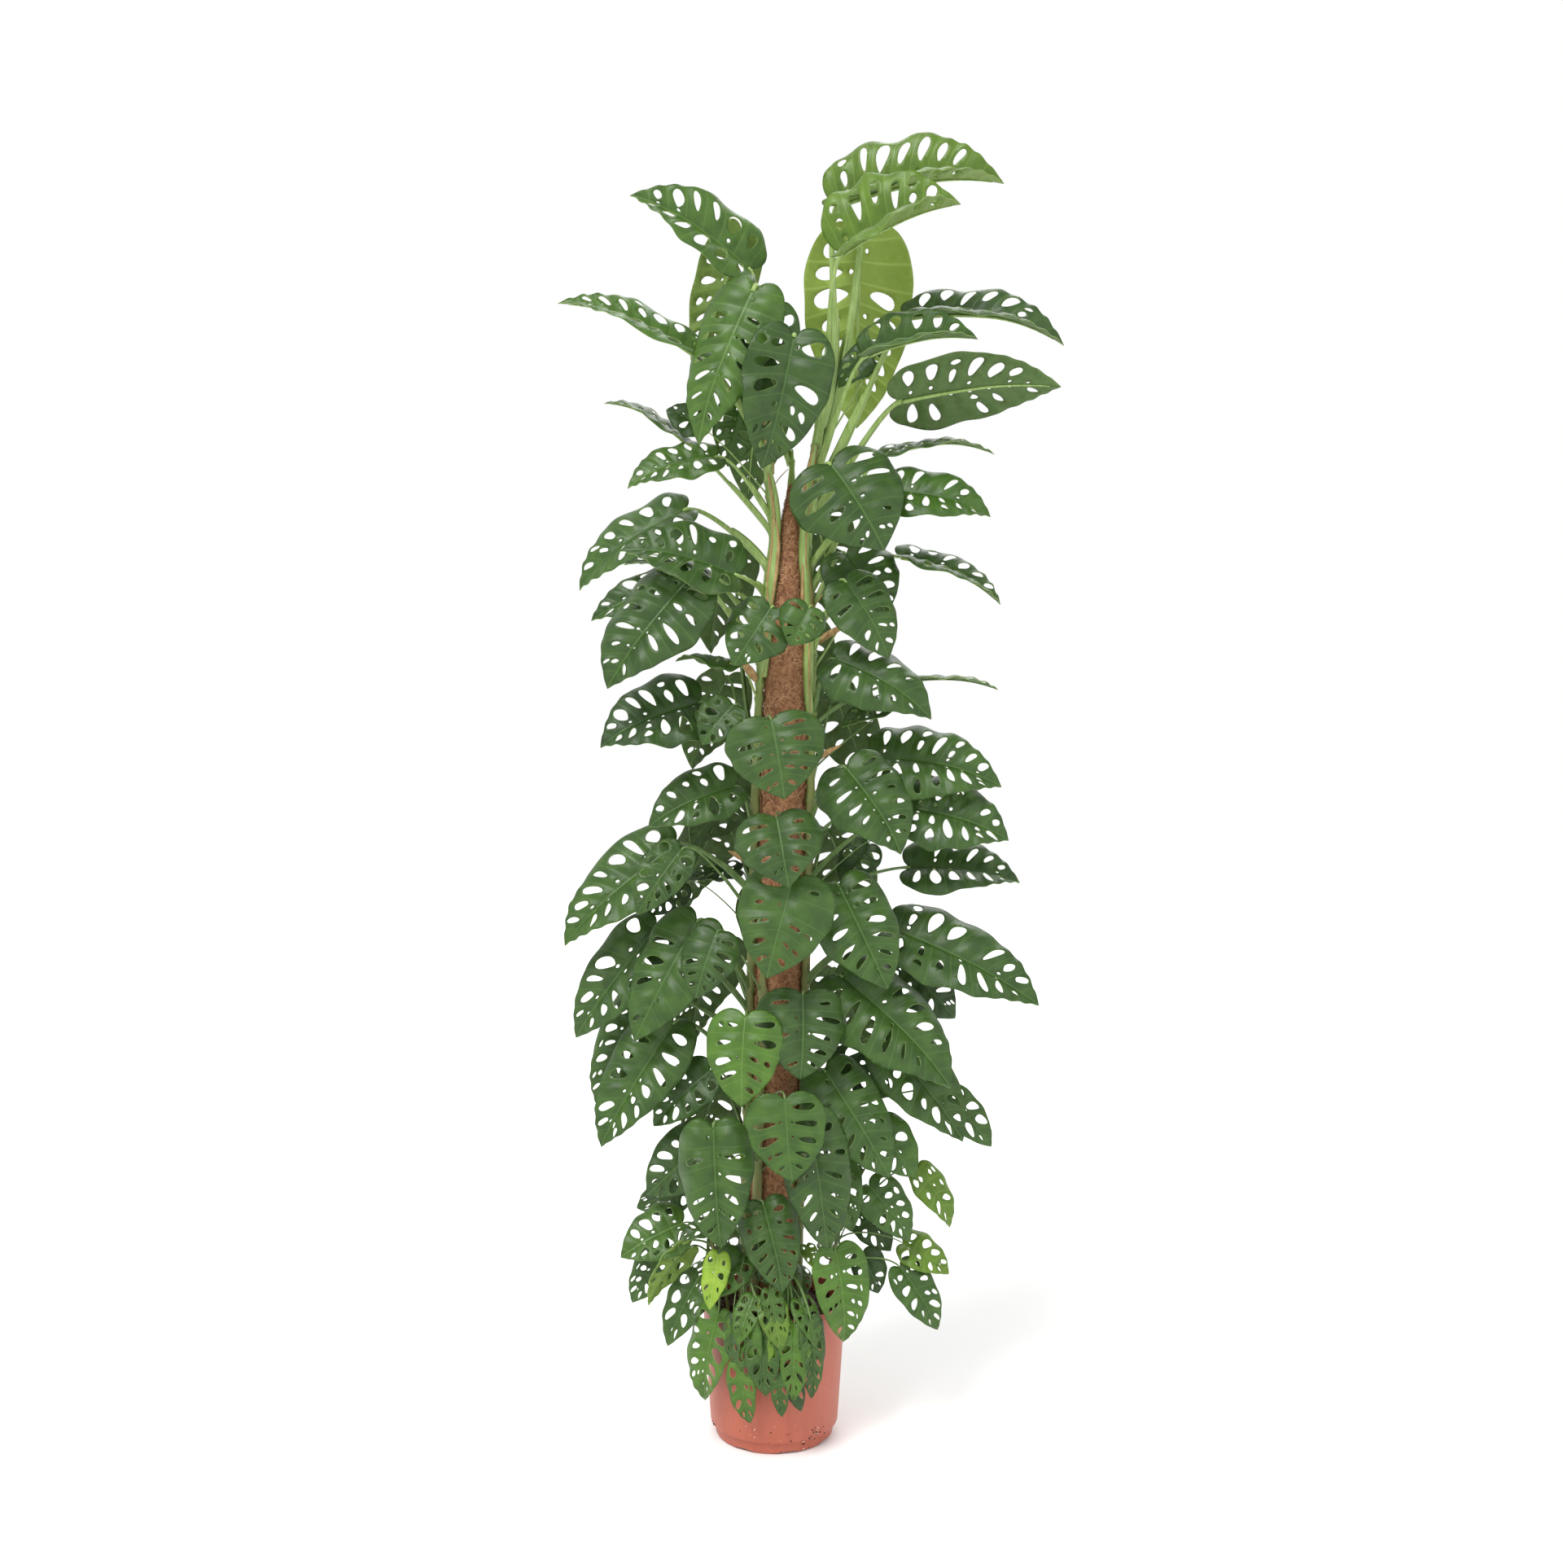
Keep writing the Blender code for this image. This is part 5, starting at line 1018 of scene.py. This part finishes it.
# the stake is sawn softwood: straight pale grain along it
stakeFinish = plainSkin("sawnStake", "#B08D5E", "#CDB083", 3, 0.7, stretch=(1, 1, 0.05))
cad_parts["pole_stake"].data.materials[0] = stakeFinish
print("moss pole made")


pot = dict(height=0.185, rim=0.099, ledge=0.0875, base=0.081, ledgeHeight=0.018, wall=0.002, lip=0.0025,
           lipHeight=0.008, floor=0.0075, arches=8, archWide=0.035, archTall=0.004, archLong=0.022,
           hole=0.005, holeRing=0.055, sides=144)


def potMaterial():  # terracotta-coloured polypropylene: satin, faint flow marks, fine pale scuffs and soil dust
    finish, tree, shader = newMaterial("mouldedPolypropylene", {"IOR": 1.49, "Specular IOR Level": 0.45})
    place = addNode(tree, "TexCoord").outputs["Object"]
    flow = addNode(tree, "Mapping", {"Scale": (1, 1, 0.12)}, {"Vector": place})
    marks = addNode(tree, "TexNoise", {"Scale": 1 / (14 * mm), "Detail": 5.0}, {"Vector": flow.outputs[0]})
    colour = addNode(tree, "ValToRGB", {"stops": ((0.3, "#A65642"), (0.7, "#AD5E49"))}, {0: marks.outputs[0]})
    scratch = addNode(tree, "Mapping", {"Scale": (1, 1, 0.22), "Rotation": (0.5, 0.35, 0.2)}, {"Vector": place})
    lines = addNode(tree, "TexNoise", {"Scale": 1 / (2.2 * mm), "Detail": 2.0}, {"Vector": scratch.outputs[0]})
    pale = addNode(tree, "MapRange", {"From Min": 0.70, "From Max": 0.76, "To Max": 0.55}, {"Value": lines.outputs[0]})
    scuffed = addNode(tree, "Mix", {"data_type": "RGBA", 7: hexColour("#CF9480")},
                      {0: pale.outputs[0], 6: colour.outputs[0]})
    height = addNode(tree, "SeparateXYZ", links={0: place})
    low = addNode(tree, "MapRange", {"From Min": 0.0, "From Max": 0.05, "To Min": 0.5, "To Max": 0.0},
                  {"Value": height.outputs[2]})
    dust = addNode(tree, "TexNoise", {"Scale": 1 / (5 * mm), "Detail": 8.0, "Roughness": 0.7}, {"Vector": place})
    patch = addNode(tree, "MapRange", {"From Min": 0.52, "From Max": 0.66}, {"Value": dust.outputs[0]})
    dusty = addNode(tree, "Math", {"operation": "MULTIPLY"}, {0: low.outputs[0], 1: patch.outputs[0]})
    dirty = addNode(tree, "Mix", {"data_type": "RGBA", 7: hexColour("#7E4637")},
                    {0: dusty.outputs[0], 6: scuffed.outputs[2]})
    gloss = addNode(tree, "MapRange", {"To Min": 0.36, "To Max": 0.52}, {"Value": dust.outputs[0]})
    fine = addNode(tree, "TexNoise", {"Scale": 1 / (0.8 * mm), "Detail": 3.0}, {"Vector": place})
    bump = addNode(tree, "Bump", {"Strength": 0.12, "Distance": 0.0002}, {"Height": fine.outputs[0]})
    tree.links.new(dirty.outputs[2], shader.inputs["Base Color"])
    tree.links.new(gloss.outputs[0], shader.inputs["Roughness"])
    tree.links.new(bump.outputs[0], shader.inputs["Normal"])
    return finish


def wallRadius(height):  # outside of the wall above the ledge
    share = (height - pot["ledgeHeight"]) / (pot["height"] - pot["ledgeHeight"])
    return pot["ledge"] + (pot["rim"] - pot["ledge"]) * share


def makePot():
    top, lipFoot, lip = pot["height"], pot["height"] - pot["lipHeight"], pot["rim"] + pot["lip"]
    base, wall, ledge = pot["base"], pot["wall"], pot["ledgeHeight"]
    profile = [(0.002, 0), (base - 0.006, 0), (base - 0.0025, 0.0006), (base - 0.0006, 0.0025), (base, 0.006),
               (base + 0.0004, ledge - 0.0045), (base + 0.0012, ledge - 0.003), (pot["ledge"] - 0.0022, ledge - 0.0012),
               (pot["ledge"] - 0.0006, ledge - 0.0002), (pot["ledge"], ledge + 0.0014)]
    profile += [(wallRadius(h), h) for h in np.linspace(ledge + 0.008, lipFoot - 0.003, 9)]
    profile += [(wallRadius(lipFoot) + 0.0004, lipFoot - 0.0004), (lip - 0.0008, lipFoot + 0.0002),
                (lip, lipFoot + 0.001), (lip, top - 0.0016), (lip - 0.0005, top - 0.0004), (lip - 0.0015, top),
                (pot["rim"] - wall + 0.0006, top), (pot["rim"] - wall, top - 0.0006)]
    profile += [(wallRadius(h) - wall, h) for h in np.linspace(lipFoot, ledge + 0.003, 6)]
    profile += [(base - wall, ledge - 0.002), (base - wall - 0.0005, pot["floor"] + 0.002),
                (base - wall - 0.0025, pot["floor"]), (0.003, pot["floor"])]
    made = spunPiece("nurseryPot", profile, pot["sides"])
    cutters = []
    for k in range(pot["arches"]):
        turn = math.tau * (k + 0.3) / pot["arches"] - math.pi / 2
        deselectAll()
        bpy.ops.mesh.primitive_cylinder_add(
            vertices=48, radius=pot["archWide"] / 2, depth=2 * pot["archLong"], rotation=(0, math.pi / 2, turn),
            location=(base * math.cos(turn), base * math.sin(turn), -0.0002))
        arch = bpy.context.object
        arch.scale = (2 * pot["archTall"] / pot["archWide"], 1, 1)
        cutters.append(arch)
        turn = math.tau * (k + 0.8) / pot["arches"] - math.pi / 2
        deselectAll()
        bpy.ops.mesh.primitive_cylinder_add(
            vertices=24, radius=pot["hole"], depth=4 * pot["floor"], rotation=(0, 0, turn + 0.03),
            location=(pot["holeRing"] * math.cos(turn), pot["holeRing"] * math.sin(turn), 0))
        cutters.append(bpy.context.object)
    for cutter in cutters:
        cut = made.modifiers.new("cut", "BOOLEAN")
        cut.operation = "DIFFERENCE"
        cut.solver = "EXACT"
        cut.object = cutter
    applyAll(made)
    for cutter in cutters:
        bpy.data.objects.remove(cutter, do_unlink=True)
    made.data.materials.clear()
    made.data.materials.append(potMaterial())
    made.data.polygons.foreach_set("material_index", np.zeros(len(made.data.polygons), np.int32))
    bpy.ops.object.shade_smooth_by_angle(angle=math.radians(32))
    return finishPiece(made, "pot_plastic", "pot")


makePot()


soil = dict(crumbs=420, specks=64, lowRight=34, onLedge=10, seed=3)
# potting mix: moist dark peat with bark, crumbly and without any shine
soilFinish = plainSkin("peatMix", "#2A1912", "#4A2F22", 6, 0.95, depth=0.002, strength=0.9)
# loose crumbs of the same mix: drier, so a little lighter
crumbFinish = plainSkin("peatCrumb", "#2E1B12", "#553626", 3, 0.95, depth=0.0006, strength=0.6)
# perlite: puffed volcanic glass, chalky white grains
perliteFinish = plainSkin("perliteGrain", "#CFC4B4", "#E9E2D6", 1, 0.9, depth=0.0004)


def crumbParts(placed, sizes, rng):  # one broken lump, turned and sized anew for each place
    deselectAll()
    bpy.ops.mesh.primitive_ico_sphere_add(subdivisions=1, radius=1)
    pattern = bpy.context.object
    base = np.array([tuple(p.co) for p in pattern.data.vertices])
    skin = [tuple(f.vertices) for f in pattern.data.polygons]
    bpy.data.objects.remove(pattern, do_unlink=True)
    parts = []
    for k in range(len(placed)):
        turn = np.linalg.qr(rng.normal(size=(3, 3)))[0]
        if np.linalg.det(turn) < 0:
            turn[:, 0] *= -1
        shape = base * rng.uniform(0.75, 1.15, (len(base), 1)) * rng.uniform(0.55, 1.1, (1, 3))
        parts.append((placed[k] + shape @ turn.T * sizes[k], skin))
    return parts


def makeSoil():
    level, mound = ground["level"], ground["mound"]
    low = pot["ledgeHeight"] + 0.002
    wide = wallRadius(level) - pot["wall"] - 0.0004
    bottom = pot["floor"] + 0.0004
    profile = [(0.003, bottom), (pot["base"] - 0.006, bottom), (pot["base"] - 0.0035, low)]
    profile += [(wallRadius(level - mound) - pot["wall"] - 0.0004, level - mound)]
    profile += [(wide * s, level - mound * max(0, s - 0.7) / 0.3) for s in np.linspace(0.97, 0.03, 26)]
    made = spunPiece("pottingSoil", profile, 96)
    for point in made.data.vertices:
        if point.co.z > level - mound - 0.002 and math.hypot(point.co.x, point.co.y) < wide * 0.985:
            point.co.z += noise.fractal(point.co * 90, 1.0, 2.0, 4) * 0.0032 - 0.0008
    made.data.materials.append(soilFinish)
    made.data.polygons.foreach_set("use_smooth", np.ones(len(made.data.polygons), bool))
    finishPiece(made, "soil", "soil")
    rng = np.random.default_rng(soil["seed"])
    far = wide * 0.95 * np.sqrt(rng.uniform(0.05, 1, soil["crumbs"]))
    turn = rng.uniform(0, math.tau, soil["crumbs"])
    high = rng.uniform(level - 0.001, level + 0.0022, soil["crumbs"])
    placed = np.column_stack([far * np.cos(turn), far * np.sin(turn), high])
    sizes = rng.uniform(0.0010, 0.0036, soil["crumbs"]) * np.where(rng.uniform(size=soil["crumbs"]) > 0.9, 1.4, 1)
    points, skin, _ = gather(crumbParts(placed, sizes, rng))
    finishPiece(meshObject("soilCrumbs", points, skin, (crumbFinish,)), "soil")
    # crumbs that stick to the pot: low on the right, a few on the left ledge and at the front
    placed, sizes = [], []
    for k in range(soil["specks"]):
        spread = rng.normal(size=2)
        if k < soil["lowRight"]:
            angle, z = math.radians(38 + spread[0] * 7), 0.019 + 0.008 * spread[1] + 0.0006 * spread[0]
        elif k < soil["lowRight"] + soil["onLedge"]:
            angle, z = math.radians(-72 + spread[0] * 8), pot["ledgeHeight"] + 0.002 + 0.0015 * spread[1]
        else:
            angle, z = math.radians(6 + spread[0] * 20), 0.018 + 0.012 * spread[1]
        z = min(max(z, 0.004), 0.06)
        outer = wallRadius(z) if z > pot["ledgeHeight"] else pot["base"] + 0.0003
        placed.append((outer * math.sin(angle), -outer * math.cos(angle), z))
        sizes.append(rng.uniform(0.0006, 0.0017))
    points, skin, owner = gather(crumbParts(np.array(placed), sizes, rng))
    pale = [int(k % 4 == 0) for k in owner]
    finishPiece(meshObject("soilSpecks", points, skin, (crumbFinish, perliteFinish), pale), "soil")


makeSoil()
print("pot and soil made")


studio = dict(
    distance=2.30, eye=1.00, lens=38.17, sensor=36, shift=(0.0047, -0.0498), paper="#FBFBFA", floorWide=14,
    skyFade=(0.45, 0.9), skyOverhead=0.55,  # the white all round dims between these heights on its dome
    lamps=(("keyLight", (-1.3, -2.0, 3.2), 24, 2.2),  # name, where it shines from, spread in degrees, strength
           ("fillLight", (2.2, -2.4, 1.4), 50, 0.35),
           ("rimLight", (0.6, 2.4, 2.6), 40, 0.9)),
)


def makeStudio():
    deselectAll()
    bpy.ops.mesh.primitive_plane_add(size=studio["floorWide"], location=(0, 0, 0))
    floor = bpy.context.object
    floor.name = "studioFloor"
    # matt background paper, seamless and nearly white
    finish = newMaterial("palePaper", {"Roughness": 0.9, "Base Color": hexColour(studio["paper"])})[0]
    floor.data.materials.append(finish)
    world = bpy.data.worlds.new("softWhite")
    scene.world = world
    world.use_nodes = True
    sky = world.node_tree  # white paper all round up to eye height and above, dimmer overhead
    around = addNode(sky, "TexCoord").outputs["Generated"]
    height = addNode(sky, "SeparateXYZ", links={0: around})
    fadeFrom, fadeTo = studio["skyFade"]
    fade = addNode(sky, "MapRange", {"From Min": fadeFrom, "From Max": fadeTo, "To Min": 1.0,
                   "To Max": studio["skyOverhead"]}, {"Value": height.outputs[2]})
    sky.nodes["Background"].inputs[0].default_value = (1, 1, 1, 1)
    sky.links.new(fade.outputs[0], sky.nodes["Background"].inputs[1])
    for name, place, spread, strength in studio["lamps"]:
        lamp = bpy.data.lights.new(name, "SUN")
        lamp.angle = math.radians(spread)
        lamp.energy = strength
        light = bpy.data.objects.new(name, lamp)
        light.location = place
        light.rotation_euler = (-Vector(place)).to_track_quat("-Z", "Y").to_euler()
        scene.collection.objects.link(light)
    view = bpy.data.cameras.new("camera")
    view.lens = studio["lens"]
    view.sensor_width = studio["sensor"]
    view.shift_x, view.shift_y = studio["shift"]
    camera = bpy.data.objects.new("camera", view)
    camera.location = (0, -studio["distance"], studio["eye"])
    camera.rotation_euler = (math.pi / 2, 0, 0)
    scene.collection.objects.link(camera)
    scene.camera = camera
    scene.view_settings.view_transform = "Standard"


makeStudio()
